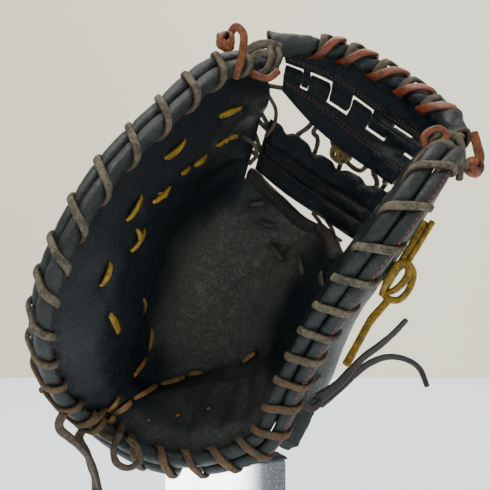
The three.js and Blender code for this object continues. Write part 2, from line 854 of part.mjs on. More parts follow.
// Knots and short ends, tied from the ends of the laces; the ends stand as they were pulled.
// Each place is across, behind and up, as shares of the mitt's width, rim depth and height.
const finger_knot_route = [
  [-0.0024, -0.02, 0.4179],
  [-0.0116, -0.07, 0.4357],
  [-0.032, -0.08, 0.4429],
  [-0.052, -0.05, 0.425],
  [-0.0552, 0.02, 0.4086],
];
const thumb_knot_route = [
  [0.4592, -0.266, 0.2211],
  [0.476, -0.28, 0.2143],
  [0.504, -0.2, 0.2],
  [0.516, -0.14, 0.1786],
  [0.524, -0.12, 0.1607],
];
const thumb_end_route = [
  [0.532, -0.12, 0.1643],
  [0.544, -0.12, 0.1857],
  [0.542, -0.13, 0.2071],
  [0.5332, -0.14, 0.2329],
];
const heel_loop_route = [
  [-0.308, 0.03, -0.4036],
  [-0.312, -0.02, -0.4357],
  [-0.292, -0.03, -0.4643],
  [-0.268, 0, -0.4714],
  [-0.252, 0.05, -0.4571],
];
const finger_knot_centre = [-0.048, -0.04, 0.4286];
const thumb_knot_centre = [0.5264, -0.12, 0.1607];
const yellow_strand_route = [[14.4, 0.78], [13.9, 0.75], [13.35, 0.72]];
const yellow_knot_place = [13.2, 0.7];
const wrist_knot_place = [10.95, 0.9];
const knot_steps = { finger: 8, thumb: 7, thumb_end: 5, yellow: 8, heel_loop: 10 };

function laceAlong(route, steps) {
  return laceThrough(route.map((shares) => place(...shares)), steps, toward_viewer);
}

function fingerKnot() {
  const ball = knotBall(place(...finger_knot_centre), end_knot_diameter);
  return fuse([laceAlong(finger_knot_route, knot_steps.finger), ball]);
}

function thumbKnot() {
  const ball = knotBall(place(...thumb_knot_centre), knot_diameter);
  const end = laceAlong(thumb_end_route, knot_steps.thumb_end);
  return fuse([laceAlong(thumb_knot_route, knot_steps.thumb), ball, end]);
}

function thumbBackKnot() {
  const strand = yellow_strand_route.map(([u, r], k) => onBack(u, r, (k + 1) * tied_on));
  const up = bowlNormal(...yellow_knot_place);
  const ball = knotBall(onBack(...yellow_knot_place, knot_diameter / 2 + 2 * clearance), knot_diameter);
  return fuse([laceThrough(strand, knot_steps.yellow, up), ball]);
}

function wristLaceKnot() {
  const out = small_knot_diameter / 2 + 3 * clearance;
  return knotBall(onBack(...wrist_knot_place, out), small_knot_diameter);
}

// Free lace ends: hand-chosen routes in the mitt's frame
const free_ends = {
  wrist_tail_up: [
    [44.6, 7.4, -92.6], [51, 9, -88.9], [57.7, 12, -84.4], [66.1, 16, -76.6], [73, 13, -68.7],
    [82.3, 10, -61], [90.2, 7, -53.3], [96.9, 4, -45.1],
  ],
  wrist_tail_down: [
    [46, 10, -97], [53, 17, -93.5], [61.2, 22, -87.8], [69.3, 25, -81.3], [78.6, 24, -74.2],
    [88.9, 22, -70.1], [99.7, 20, -71.1], [108, 18, -76.3], [112.5, 16, -87.1],
  ],
  yellow_tail: [
    [87.5, 9, -33], [82, 6, -38.5], [75.4, 2, -45], [68.2, 0, -57], [59.9, -2, -71.1],
  ],
  heel_tail_left: [
    [-104.6, -14.8, -97], [-107.3, -14, -103], [-106.7, -13, -107], [-102, -11, -111.9],
    [-96.6, -9, -117.7], [-91.3, -8, -124.7], [-87.8, -8, -132.9], [-85.5, -8, -141.1],
    [-82.5, -8, -149.3], [-79, -8, -157.5],
  ],
  heel_tail_right: [
    [-97.5, 0.6, -111.3], [-98.8, -0.5, -114], [-98.2, -1, -116.6], [-94.4, 1, -124.3],
    [-92, 1, -132.7], [-89.6, 1, -140.4], [-90.2, 1, -148.8], [-92.6, 1, -157.2],
  ],
};

const steps_per_point = 2;

function freeEnd(points) {
  const path = through(vectors(points), steps_per_point * points.length);
  return ribbon(path, path.map(() => toward_viewer));
}

// Everything is gathered here, mesh by mesh
const mitt = new THREE.Group();
const part = new THREE.Group();

function addMesh(group, name, geometry, { color, roughness = 0.6, metalness = 0 }) {
  const finish = new THREE.MeshStandardMaterial({ color, roughness, metalness });
  const mesh = new THREE.Mesh(geometry, finish);
  mesh.name = name;
  group.add(mesh);
  return mesh;
}

const navy = { color: 0x1c242b, roughness: 0.55 };
const worn_grey = { color: 0x3a3f42, roughness: 0.6 };
const taupe = { color: 0x6a5d4c, roughness: 0.7 };
const orange = { color: 0xa8552f, roughness: 0.6 };
const yellow = { color: 0xb8941f, roughness: 0.6 };
const dark_brown = { color: 0x3b342b, roughness: 0.7 };
const acrylic = { color: 0xcfd6d6, roughness: 0.1 };
const dark_felt = { color: 0x14181d, roughness: 0.9 };

// Laces that pass through leather, each with its colour and the holes it needs
const threaded = {
  finger_rim_lace: { ...rimLacePath(finger_holes), finish: taupe },
  thumb_rim_lace: { ...rimLacePath(thumb_holes), finish: taupe },
  web_top_lace: { ...webLacePath({ offset: 0, radius: over_radius, front_share: 1 }), finish: orange },
  web_top_lace_under: { ...webLacePath({ offset: 0.05, radius: close_radius, front_share: 0 }), finish: taupe },
};
for (const [name, stitches] of Object.entries(woven_laces)) {
  threaded[name] = { ...wovenPath(stitches), finish: name.startsWith("finger_lace") ? yellow : orange };
}
const ties = {
  web_side_tie_finger: { ...webSideTie(0.3, 0.05), finish: dark_brown },
  web_side_tie_thumb: { ...webSideTie(tip_column - 0.3, 0.95), finish: dark_brown },
};
const back_tie = webBackTie();
const { web_top_lace, web_top_lace_under, ...body_laces } = threaded;
const body_rooms = [...Object.values(body_laces), ...Object.values(ties)].map(laceRoom);
body_rooms.push(lace(threaded.pocket_lace));
const tie_rooms = [...Object.values(ties), back_tie].map(laceRoom);
const top_rooms = [web_top_lace, web_top_lace_under].map(laceRoom);

addMesh(mitt, "palm_shell", carve(palmShell(), body_rooms), navy);
addMesh(mitt, "finger_back_shell", carve(backShell(finger_back_columns), body_rooms), navy);
addMesh(mitt, "thumb_back_shell", carve(backShell(thumb_back_columns), body_rooms), navy);
addMesh(mitt, "palm_binding", binding([0, tip_column - 1], 1), worn_grey);
addMesh(mitt, "finger_back_binding", binding([0, seam_column], -1), worn_grey);
addMesh(mitt, "thumb_back_binding", binding([seam_column + 1, tip_column - 1], -1), worn_grey);
for (const [name, { finish, ...route }] of Object.entries({ ...threaded, ...ties })) {
  addMesh(mitt, name, lace(route), finish);
}
addMesh(mitt, "wrist_strap", wristStrap(), navy);
addMesh(mitt, "web_top_roll", webTopRoll(), navy);
addMesh(mitt, "web_upper_band", carve(hingedBand("upper"), [...top_rooms, ...tie_rooms]), navy);
addMesh(mitt, "web_lower_band", carve(hingedBand("lower"), tie_rooms), navy);
addMesh(mitt, "web_cross_band", carve(webCrossBand(), tie_rooms), navy);
addMesh(mitt, "web_base_roll", carve(webBaseRoll(), tie_rooms), worn_grey);
const back_tie_knot = knotBall(behindWeb(...back_knot_place), knot_diameter);
addMesh(mitt, "web_back_tie", fuse([lace(back_tie), back_tie_knot]), yellow);
addMesh(mitt, "finger_knot", fingerKnot(), orange);
addMesh(mitt, "thumb_knot", thumbKnot(), orange);
addMesh(mitt, "thumb_back_knot", thumbBackKnot(), yellow);
addMesh(mitt, "wrist_lace_knot", wristLaceKnot(), dark_brown);
addMesh(mitt, "heel_loop_lace", laceAlong(heel_loop_route, knot_steps.heel_loop), taupe);
for (const [name, points] of Object.entries(free_ends)) {
  addMesh(mitt, name, freeEnd(points), name === "yellow_tail" ? yellow : dark_brown);
}

// The lowest place of the mitt above a square footprint
function lowestOver(side) {
  let lowest = Infinity;
  const turned = new THREE.Matrix4().makeRotationZ(-block_turn);
  for (const mesh of mitt.children) {
    if (mesh.name in free_ends) continue;
    const places = mesh.geometry.attributes.position;
    for (let k = 0; k < places.count; k += 1) {
      const point = new THREE.Vector3().fromBufferAttribute(places, k);
      const local = new THREE.Vector3(point.x - block_across, point.y - block_behind, 0).applyMatrix4(turned);
      if (Math.max(Math.abs(local.x), Math.abs(local.y)) < side / 2) lowest = Math.min(lowest, point.z);
    }
  }
  return lowest;
}

const pad_side = block_side + 2 * pad_overhang;
const pad_top = lowestOver(pad_side + pad_overhang) - 2 * clearance;
const stand = new THREE.Group();
stand.position.set(block_across, block_behind, 0);
stand.rotation.z = block_turn;
const pad = addMesh(stand, "display_pad", new THREE.BoxGeometry(pad_side, pad_side, pad_height), dark_felt);
pad.position.z = pad_top - pad_height / 2;
const block_top = pad_top - pad_height - clearance;
const block_shape = new THREE.BoxGeometry(block_side, block_side, block_height);
const block = addMesh(stand, "display_block", block_shape, acrylic);
block.position.z = block_top - block_height / 2;

// Shift everything so that the block stands on z = 0 and the part is centred over the origin
part.add(mitt, stand);
part.updateMatrixWorld(true);
const fixed = new THREE.Box3();
part.traverse((object) => {
  if (object.isMesh && !(object.name in free_ends)) fixed.union(new THREE.Box3().setFromObject(object));
});
const middle = fixed.getCenter(new THREE.Vector3());
part.position.set(-middle.x, -middle.y, -fixed.min.z);

export default part;
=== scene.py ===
"""A laced leather first baseman mitt on a small clear block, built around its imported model."""

import math

import bmesh
import bpy
import numpy as np
from bpy.props import FloatProperty, FloatVectorProperty, IntProperty, PointerProperty
from mathutils.kdtree import KDTree
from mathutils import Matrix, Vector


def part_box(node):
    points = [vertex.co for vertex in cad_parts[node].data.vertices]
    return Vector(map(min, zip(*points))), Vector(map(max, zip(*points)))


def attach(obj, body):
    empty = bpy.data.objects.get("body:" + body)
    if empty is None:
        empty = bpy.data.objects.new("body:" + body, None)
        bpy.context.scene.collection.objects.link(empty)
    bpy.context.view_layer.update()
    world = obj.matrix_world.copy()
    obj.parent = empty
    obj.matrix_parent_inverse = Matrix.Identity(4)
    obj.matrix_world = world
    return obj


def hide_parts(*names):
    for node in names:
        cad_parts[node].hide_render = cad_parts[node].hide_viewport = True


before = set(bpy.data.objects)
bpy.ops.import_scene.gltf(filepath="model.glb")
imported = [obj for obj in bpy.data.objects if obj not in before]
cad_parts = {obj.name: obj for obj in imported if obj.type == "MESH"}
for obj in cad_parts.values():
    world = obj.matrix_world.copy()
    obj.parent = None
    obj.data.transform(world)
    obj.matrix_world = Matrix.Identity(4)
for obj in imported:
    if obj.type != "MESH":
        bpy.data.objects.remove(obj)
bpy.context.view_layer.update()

bl_info = {
    "name": "First Baseman Mitt",
    "version": (1, 0, 0),
    "blender": (4, 5, 0),
    "location": "View3D > Sidebar > Mitt",
    "description": "Builds a laced leather first baseman mitt on a display block",
    "category": "Object",
}

# Lengths are in millimetres in the mitt's own frame, and turn into metres when a mesh is made.
METRE = 1000.0
MITT_WIDTH = 250
MITT_HEIGHT = 280
RIM_DEPTH = 100
HAND_ROOM = 26
THUMB_ROOM = 18
CLEARANCE = 0.3
PALM_WALL = 7
PALM_EDGE_WALL = 4
BACK_WALL = 3.5
LOBE_PADDING = 5
BAND_WALL = 3.5
CROSS_BAND_WALL = 9
STRAP_WALL = 3
STRAP_LIFT = 12
BINDING_RADIUS = 4.5
TOP_ROLL_RADIUS = 5.75
BASE_ROLL_RADIUS = 4

# Where the mitt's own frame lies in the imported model, worked out from the display block
BLOCK_ACROSS = -14.5
BLOCK_BEHIND = 68
MITT_LIFT = 234.1
block_low, block_high = (np.array(corner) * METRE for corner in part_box("display_block"))
block_centre = (block_low + block_high) / 2
MITT_ORIGIN = np.array([block_centre[0] - BLOCK_ACROSS, block_centre[1] - BLOCK_BEHIND, MITT_LIFT])

# Rim of the mitt, as in the part's source: shares of the width, depth and height
RIM_COLUMNS = ("across", "up", "behind", "flare", "reach", "crease", "floor", "web_edge")
RIM_ROWS = {
    "finger_tip": (0.044, 0.424, 0.34, -0.1, 0.35, 0.62, 0.6, 0.37),
    "finger_1": (-0.063, 0.382, 0.06, -0.22, 0.4, 0.58, 0.7, 0.33),
    "finger_2": (-0.181, 0.269, -0.22, -0.32, 0.45, 0.54, 0.8, 0.3),
    "finger_3": (-0.3, 0.139, -0.42, -0.36, 0.48, 0.5, 0.86, 0.3),
    "finger_4": (-0.391, -0.013, -0.52, -0.4, 0.48, 0.48, 0.86, 0.3),
    "finger_5": (-0.44, -0.157, -0.44, -0.45, 0.32, 0.48, 0.8, 0.3),
    "finger_6": (-0.439, -0.295, -0.14, -0.4, 0.2, 0.54, 0.68, 0.3),
    "heel_corner": (-0.362, -0.402, 0.14, -0.28, 0.18, 0.6, 0.6, 0.3),
    "heel_1": (-0.235, -0.47, 0.16, -0.18, 0.18, 0.42, 0.55, 0.3),
    "heel_2": (-0.099, -0.481, 0.16, -0.18, 0.18, 0.38, 0.55, 0.3),
    "heel_3": (0.042, -0.433, 0.14, -0.06, 0.26, 0.38, 0.55, 0.3),
    "thumb_1": (0.107, -0.304, 0, 0.14, 0.45, 0.46, 0.55, 0.34),
    "thumb_2": (0.163, -0.182, -0.22, 0.14, 0.6, 0.55, 0.55, 0.42),
    "thumb_3": (0.236, -0.067, -0.44, 0.14, 0.7, 0.7, 0.55, 0.6),
    "thumb_4": (0.325, 0.055, -0.58, 0.15, 0.78, 0.7, 0.55, 0.47),
    "thumb_5": (0.408, 0.151, -0.46, 0.14, 0.7, 0.7, 0.55, 0.365),
    "thumb_tip": (0.485, 0.227, -0.14, 0.14, 0.45, 0.7, 0.55, 0.3),
    "web_1": (0.457, 0.324, 0.16, 0.06, 0.25, 0.7, 0.55, 0.27),
    "web_2": (0.345, 0.409, 0.32, 0.04, 0.22, 0.7, 0.55, 0.275),
    "web_3": (0.195, 0.467, 0.4, 0.04, 0.25, 0.7, 0.55, 0.3),
}
RIM = {name: np.array([row[k] for row in RIM_ROWS.values()]) for k, name in enumerate(RIM_COLUMNS)}
PLACES = len(RIM_ROWS)
TIP_PLACE = 16
POCKET_CENTRE = np.array([-0.094 * MITT_WIDTH, 0.85 * RIM_DEPTH, -0.14 * MITT_HEIGHT])
OPENING_WAY = np.array([-0.1, -0.99, 0.06]) / np.linalg.norm([-0.1, -0.99, 0.06])

# Where the rim lace goes through the leather, as places of the rim
FINGER_HOLES = (6.93, 6.73, 6.4, 5.93, 5.5, 5.1, 4.63, 4.2, 3.77, 3.3, 2.8, 2.3, 1.8, 1.35, 0.77)
THUMB_HOLES = (7.5, 8.05, 8.57, 9.07, 9.57, 10.0, 10.43, 10.87, 11.3, 11.8, 12.23, 12.73, 13.2, 13.73,
               14.4, 15.2)

# Rows of the web, as in the part's source: across, up and behind at four places across it
WEB_TABLE = {
    "top_roll": ((0.091, 0.463, 0.38), (0.247, 0.453, 0.4), (0.395, 0.371, 0.3), (0.491, 0.272, 0.02)),
    "hinge_upper": ((0.102, 0.429, 0.44), (0.233, 0.385, 0.48), (0.361, 0.301, 0.42), (0.459, 0.215, 0.18)),
    "hinge_lower": ((0.097, 0.397, 0.46), (0.223, 0.346, 0.5), (0.344, 0.267, 0.44), (0.441, 0.185, 0.2)),
    "lower_edge": ((0.096, 0.368, 0.5), (0.185, 0.286, 0.56), (0.286, 0.213, 0.54), (0.381, 0.135, 0.32)),
    "cross_top": ((0.062, 0.298, 0.56), (0.163, 0.245, 0.62), (0.272, 0.18, 0.62), (0.374, 0.114, 0.42)),
    "cross_low": ((0.025, 0.189, 0.66), (0.111, 0.129, 0.74), (0.206, 0.072, 0.74), (0.292, 0.012, 0.54)),
}
WEB = np.array(list(WEB_TABLE.values()))

# Laces woven through the palm: each row is one stitch seen in front, between two places of the bowl
WOVEN = {
    "finger_lace_outer": (
        ((0.8, 0.77), (1.4, 0.83)), ((1.95, 0.87), (2.35, 0.88)), ((2.9, 0.86), (3.3, 0.86)),
        ((3.9, 0.85), (4.3, 0.85)), ((4.75, 0.79), (5.2, 0.71)),
    ),
    "finger_lace_inner": (
        ((0.72, 0.58), (1.08, 0.62)), ((1.14, 0.61), (1.3, 0.66)), ((1.34, 0.68), (1.52, 0.69)),
        ((1.75, 0.71), (2.06, 0.75)), ((2.1, 0.76), (2.3, 0.785)), ((2.5, 0.78), (2.9, 0.81)),
        ((2.62, 0.765), (2.74, 0.81)), ((3.25, 0.77), (3.65, 0.79)), ((3.32, 0.81), (3.5, 0.765)),
    ),
    "finger_crease_lace": (
        ((6.85, 0.9), (6.67, 0.81)), ((6.62, 0.64), (6.42, 0.49)), ((6.3, 0.45), (5.55, 0.395)),
        ((4.97, 0.475), (4.5, 0.58)), ((4.1, 0.71), (3.82, 0.735)),
    ),
    "heel_crease_lace": (
        ((7.08, 0.97), (7.02, 0.9)), ((7.0, 0.88), (7.0, 0.785)), ((7.03, 0.76), (7.38, 0.56)),
        ((7.43, 0.54), (8.0, 0.42)), ((8.1, 0.405), (8.65, 0.38)), ((10.2, 0.37), (10.8, 0.4)),
        ((7.63, 0.825), (7.68, 0.815)), ((8.22, 0.715), (8.28, 0.705)), ((8.97, 0.665), (9.05, 0.655)),
    ),
    "pocket_lace": (
        ((19.3, 0.26), (18.6, 0.27)), ((18.45, 0.22), (17.65, 0.23)), ((17.25, 0.19), (14.5, 0.26)),
        ((14.3, 0.33), (13.3, 0.44)), ((13.25, 0.55), (12.85, 0.64)),
    ),
}

# Lines on the palm that its leather folds along, as places of the bowl
HEEL_CREASE = (
    (7.05, 0.97), (7.0, 0.86), (7.02, 0.77), (7.2, 0.66), (7.4, 0.55), (7.65, 0.47), (8.05, 0.41),
    (8.6, 0.38), (9.45, 0.34), (10.2, 0.37), (10.75, 0.4),
)
FINGER_CREASE = (
    (6.85, 0.9), (6.66, 0.8), (6.65, 0.65), (6.45, 0.5), (6.1, 0.43), (5.55, 0.39), (5.1, 0.44),
    (4.5, 0.58), (3.8, 0.62), (3.25, 0.62), (2.6, 0.6), (2.05, 0.53), (1.45, 0.47), (0.6, 0.44),
)
HEEL_FOLDS = (
    ((7.75, 0.5), (7.95, 0.78)), ((8.35, 0.46), (8.3, 0.74)), ((8.85, 0.44), (8.55, 0.82)),
    ((9.65, 0.42), (9.2, 0.8)), ((10.4, 0.46), (9.75, 0.8)), ((11.1, 0.5), (10.4, 0.75)),
)
LOBE_FOLDS = (
    ((2.0, 0.6), (4.2, 0.78)), ((5.9, 0.52), (5.4, 0.7)), ((6.5, 0.6), (5.9, 0.78)),
    ((1.2, 0.55), (2.3, 0.68)),
)

# Free lace ends, with the same routes as the part's source
TAILS = {
    "wrist_tail_up": (
        (44.6, 7.4, -92.6), (51, 9, -88.9), (57.7, 12, -84.4), (66.1, 16, -76.6), (73, 13, -68.7),
        (82.3, 10, -61), (90.2, 7, -53.3), (96.9, 4, -45.1),
    ),
    "wrist_tail_down": (
        (46, 10, -97), (53, 17, -93.5), (61.2, 22, -87.8), (69.3, 25, -81.3), (78.6, 24, -74.2),
        (88.9, 22, -70.1), (99.7, 20, -71.1), (108, 18, -76.3), (112.5, 16, -87.1),
    ),
    "yellow_tail": ((87.5, 9, -33), (82, 6, -38.5), (75.4, 2, -45), (68.2, 0, -57), (59.9, -2, -71.1)),
    "heel_tail_left": (
        (-104.6, -14.8, -97), (-107.3, -14, -103), (-106.7, -13, -107), (-102, -11, -111.9),
        (-96.6, -9, -117.7), (-91.3, -8, -124.7), (-87.8, -8, -132.9), (-85.5, -8, -141.1),
        (-82.5, -8, -149.3), (-79, -8, -157.5),
    ),
    "heel_tail_right": (
        (-97.5, 0.6, -111.3), (-98.8, -0.5, -114), (-98.2, -1, -116.6), (-94.4, 1, -124.3),
        (-92, 1, -132.7), (-89.6, 1, -140.4), (-90.2, 1, -148.8), (-92.6, 1, -157.2),
    ),
}

SMALL_STEP = 0.01
TOWARD_VIEWER = np.array([0.0, -1.0, 0.0])

# Shares of the way from the pocket to the rim between which the leather of the palm changes
LOBE_RISE = 0.12
LOBE_FALL = (0.78, 0.98)
THIN_FROM = 0.8
ROOM_OPENS = 0.38
ROOM_NARROWS = (0.5, 0.75)
ROOM_NARROWING = 0.35
THUMB_ROOM_PLACES = (11, 13)


def smooth(low, high, x):
    """A soft step from 0 at low to 1 at high."""
    share = np.clip((np.asarray(x, float) - low) / (high - low), 0, 1)
    return share * share * (3 - 2 * share)


def catmull(a, b, c, d, t):
    return 0.5 * (2 * b + (c - a) * t + (2 * a - 5 * b + 4 * c - d) * t**2 + (3 * b - a - 3 * c + d) * t**3)


def closed_spline(values, x):
    """Value at x of a closed Catmull-Rom spline through values."""
    count = len(values)
    at = np.mod(x, count)
    cell = np.floor(at).astype(int)
    return catmull(*(values[(cell + k) % count] for k in (-1, 0, 1, 2)), at - cell)


def open_spline(values, x):
    """Points at x of open splines; values is (samples, knots, ...), with one x for each sample."""
    knots = values.shape[1]
    first = 2 * values[:, :1] - values[:, 1:2]
    last = 2 * values[:, -1:] - values[:, -2:-1]
    padded = np.concatenate([first, values, last], axis=1)
    at = np.clip(x, 0, knots - 1)
    cell = np.minimum(np.floor(at).astype(int), knots - 2)
    rows = np.arange(len(values))
    share = (at - cell).reshape((-1,) + (1,) * (values.ndim - 2))
    return catmull(*(padded[rows, cell + k] for k in (0, 1, 2, 3)), share)


def unit(vectors):
    vectors = np.asarray(vectors, float)
    return vectors / np.maximum(np.linalg.norm(vectors, axis=-1, keepdims=True), 1e-9)


def rim_point(u):
    """Points of the rim's seam at these places."""
    return np.stack([
        closed_spline(RIM["across"], u) * MITT_WIDTH,
        closed_spline(RIM["behind"], u) * RIM_DEPTH,
        closed_spline(RIM["up"], u) * MITT_HEIGHT,
    ], axis=-1)


def bowl(u, r):
    """The parting surface between palm leather and back: u round the rim, r from the pocket outwards."""
    u, r = np.broadcast_arrays(np.asarray(u, float), np.asarray(r, float))
    to_rim = rim_point(u) - POCKET_CENTRE
    height = to_rim @ OPENING_WAY
    sideways = to_rim - height[..., None] * OPENING_WAY
    radius = np.linalg.norm(sideways, axis=-1)
    flare = closed_spline(RIM["flare"], u) * RIM_DEPTH
    reach = closed_spline(RIM["reach"], u) * RIM_DEPTH
    near = 3 * r * (1 - r) ** 2
    far = 3 * r * r * (1 - r)
    out = near * closed_spline(RIM["floor"], u) * radius + far * (radius + flare) + r**3 * radius
    lift = far * (height - reach) + r**3 * height
    return POCKET_CENTRE + unit(sideways) * out[..., None] + lift[..., None] * OPENING_WAY


def bowl_normal(u, r):
    """The way from the back towards the palm side."""
    u, r = np.broadcast_arrays(np.asarray(u, float), np.asarray(r, float))
    safe = np.maximum(r, 2 * SMALL_STEP)
    along = bowl(u + SMALL_STEP, safe) - bowl(u - SMALL_STEP, safe)
    outward = bowl(u, safe) - bowl(u, safe - SMALL_STEP)
    return unit(np.cross(outward, along))


def rim_frame(u):
    """Place, way along, way towards the palm side and way outwards, on the rim's seam."""
    u = np.asarray(u, float)
    along = unit(rim_point(u + SMALL_STEP) - rim_point(u - SMALL_STEP))
    facing = bowl_normal(u, np.ones_like(u))
    facing = unit(facing - (facing * along).sum(-1, keepdims=True) * along)
    return rim_point(u), along, facing, np.cross(along, facing)


def near_rim(u, out, face):
    """Points beside the rim's seam: out from the pocket, and face towards the palm side."""
    at, _, facing, outward = rim_frame(u)
    return at + outward * np.asarray(out, float)[..., None] + facing * np.asarray(face, float)[..., None]


ROLL_FACE = BINDING_RADIUS + CLEARANCE / 2
LAST_ROW_DISTANCE = 15
EDGE_DISTANCE = BINDING_RADIUS + CLEARANCE
ROWS_PER_PLACE = 4


def share_at_distance(distance):
    """For places round the rim, the share r whose way to the rim is this long."""
    places = np.arange(0, PLACES, 1 / ROWS_PER_PLACE)
    shares = np.arange(1, 0.5, -SMALL_STEP)
    points = bowl(places[:, None], shares[None, :])
    lengths = np.cumsum(np.linalg.norm(np.diff(points, axis=1), axis=-1), axis=1)
    return np.array([np.interp(distance, row, shares[1:]) for row in lengths])


LAST_ROWS = share_at_distance(LAST_ROW_DISTANCE)
EDGE_ROWS = share_at_distance(EDGE_DISTANCE)


def last_row(u):
    return closed_spline(LAST_ROWS, np.asarray(u, float) * ROWS_PER_PLACE)


def edge_row(u):
    return closed_spline(EDGE_ROWS, np.asarray(u, float) * ROWS_PER_PLACE)


def palm_depth(u, r):
    """Thickness of the palm leather: padded on the lobes and thin at the edge."""
    crease = closed_spline(RIM["crease"], u)
    swell = smooth(0, LOBE_RISE, r - crease) * (1 - smooth(*LOBE_FALL, r))
    thin = smooth(THIN_FROM, 1, r)
    return PALM_WALL + (PALM_EDGE_WALL - PALM_WALL) * thin + LOBE_PADDING * swell


def back_room(u, r):
    """Room for the hand between the palm leather and the back."""
    inwards = 1 - r
    room = HAND_ROOM + (THUMB_ROOM - HAND_ROOM) * smooth(*THUMB_ROOM_PLACES, u)
    narrowing = 1 - ROOM_NARROWING * smooth(*ROOM_NARROWS, inwards)
    return CLEARANCE + room * smooth(0, ROOM_OPENS, inwards) * narrowing


def on_palm(u, r, depth):
    """Points this far in front of the parting surface."""
    return bowl(u, r) + bowl_normal(u, r) * np.asarray(depth, float)[..., None]


def palm_front(u, r, lift=0.0):
    """Points on the palm leather, or a lift above it."""
    return on_palm(u, r, palm_depth(u, r) + lift)


def on_back(u, r, out):
    """Points on the outside of the back, or this far out from it."""
    return on_palm(u, r, -back_room(u, r) - BACK_WALL - out)


WEB_LEAN = 2.6
LEAN_PLACES = 5.5
LEAN_SHARES = (0.4, 1)
EDGE_SHARE = 0.32


def palm_place(place, share):
    """The grid of the palm leather leans towards the web; place runs round, share outwards."""
    rising = smooth(TIP_PLACE - LEAN_PLACES, TIP_PLACE, place)
    falling = 1 - (place - TIP_PLACE) / (PLACES - TIP_PLACE)
    near = np.where(place <= TIP_PLACE, rising, falling)
    u = place - WEB_LEAN * near * (1 - smooth(*LEAN_SHARES, share))
    edge = closed_spline(RIM["web_edge"], u)
    beyond = np.maximum(share - EDGE_SHARE, 0) / (1 - EDGE_SHARE)
    r = np.minimum(share / EDGE_SHARE, 1) * edge + beyond * (last_row(u) - edge)
    return u, np.minimum(r, np.where(share > 1, edge_row(u), 1))


def web_point(s, t):
    """Points of the web: s across it from 0 to 1, t down its rows."""
    s, t = np.broadcast_arrays(np.asarray(s, float), np.asarray(t, float))
    flat_s, flat_t = s.ravel(), t.ravel()
    columns = WEB.transpose(1, 0, 2)
    sides = np.broadcast_to(columns, (len(flat_s), *columns.shape))
    rows = open_spline(sides, flat_s * (len(columns) - 1))
    across, up, behind = open_spline(rows, flat_t).T
    place = np.stack([across * MITT_WIDTH, behind * RIM_DEPTH, up * MITT_HEIGHT], axis=-1)
    return place.reshape(s.shape + (3,))


def web_normal(s, t):
    """The way out of the web towards the palm side."""
    s, t = np.broadcast_arrays(np.asarray(s, float), np.asarray(t, float))
    last = len(WEB) - 1
    across = web_point(np.minimum(s + SMALL_STEP, 1), t) - web_point(np.maximum(s - SMALL_STEP, 0), t)
    down = web_point(s, np.minimum(t + SMALL_STEP, last)) - web_point(s, np.maximum(t - SMALL_STEP, 0))
    return -unit(np.cross(across, down))


def on_web(s, t, depth):
    """Points this far in front of the web's middle surface."""
    return web_point(s, t) + web_normal(s, t) * np.asarray(depth, float)[..., None]


# Low waves over a surface, always the same
WAVE_COUNT = 9
WAVE_WAYS = unit(np.random.default_rng(7).normal(size=(WAVE_COUNT, 3)))
WAVE_PHASES = np.random.default_rng(11).uniform(0, 2 * math.pi, WAVE_COUNT)


def waves(points, length):
    """Gentle unevenness between about -1 and 1, with waves of about this length."""
    total = np.zeros(points.shape[:-1])
    for k, (way, phase) in enumerate(zip(WAVE_WAYS, WAVE_PHASES)):
        scale = length * (0.7 + 0.08 * k)
        total += np.sin(points @ way * (2 * math.pi / scale) + phase)
    return total / (WAVE_COUNT / 2)


def nearest(points, targets):
    """Distance from each point to the nearest target."""
    tree = KDTree(len(targets))
    for index, target in enumerate(targets):
        tree.insert(target, index)
    tree.balance()
    flat = points.reshape(-1, 3)
    return np.array([tree.find(point)[2] for point in flat]).reshape(points.shape[:-1])


def dent(points, normals, targets, depth, width):
    """Presses points inwards where they lie near the targets."""
    distance = nearest(points, targets)
    return points - normals * (depth * np.exp(-((distance / width) ** 2)))[..., None]


# Meshes
def make_object(name, points, faces, values=None):
    """A smooth-shaded mesh object from points in the mitt's frame, with named numbers at its points."""
    mesh = bpy.data.meshes.new(name)
    places = (np.asarray(points) + MITT_ORIGIN) / METRE
    mesh.from_pydata(places.tolist(), [], faces)
    mesh.update()
    mesh.validate()
    for label, numbers in (values or {}).items():
        attribute = mesh.attributes.new(label, "FLOAT", "POINT")
        attribute.data.foreach_set("value", np.asarray(numbers, np.float32))
    mesh.polygons.foreach_set("use_smooth", [True] * len(mesh.polygons))
    piece = bpy.data.objects.new(name, mesh)
    bpy.context.scene.collection.objects.link(piece)
    return piece


def grid_faces(columns, rows, there, closed):
    """Quads of a grid whose points run column by column."""
    found = []
    for column in range(columns if closed else columns - 1):
        beside = (column + 1) % columns
        for row in range(rows - 1):
            if there[column, row]:
                a = column * rows + row
                b = beside * rows + row
                found.append((a, a + 1, b + 1, b))
    return found


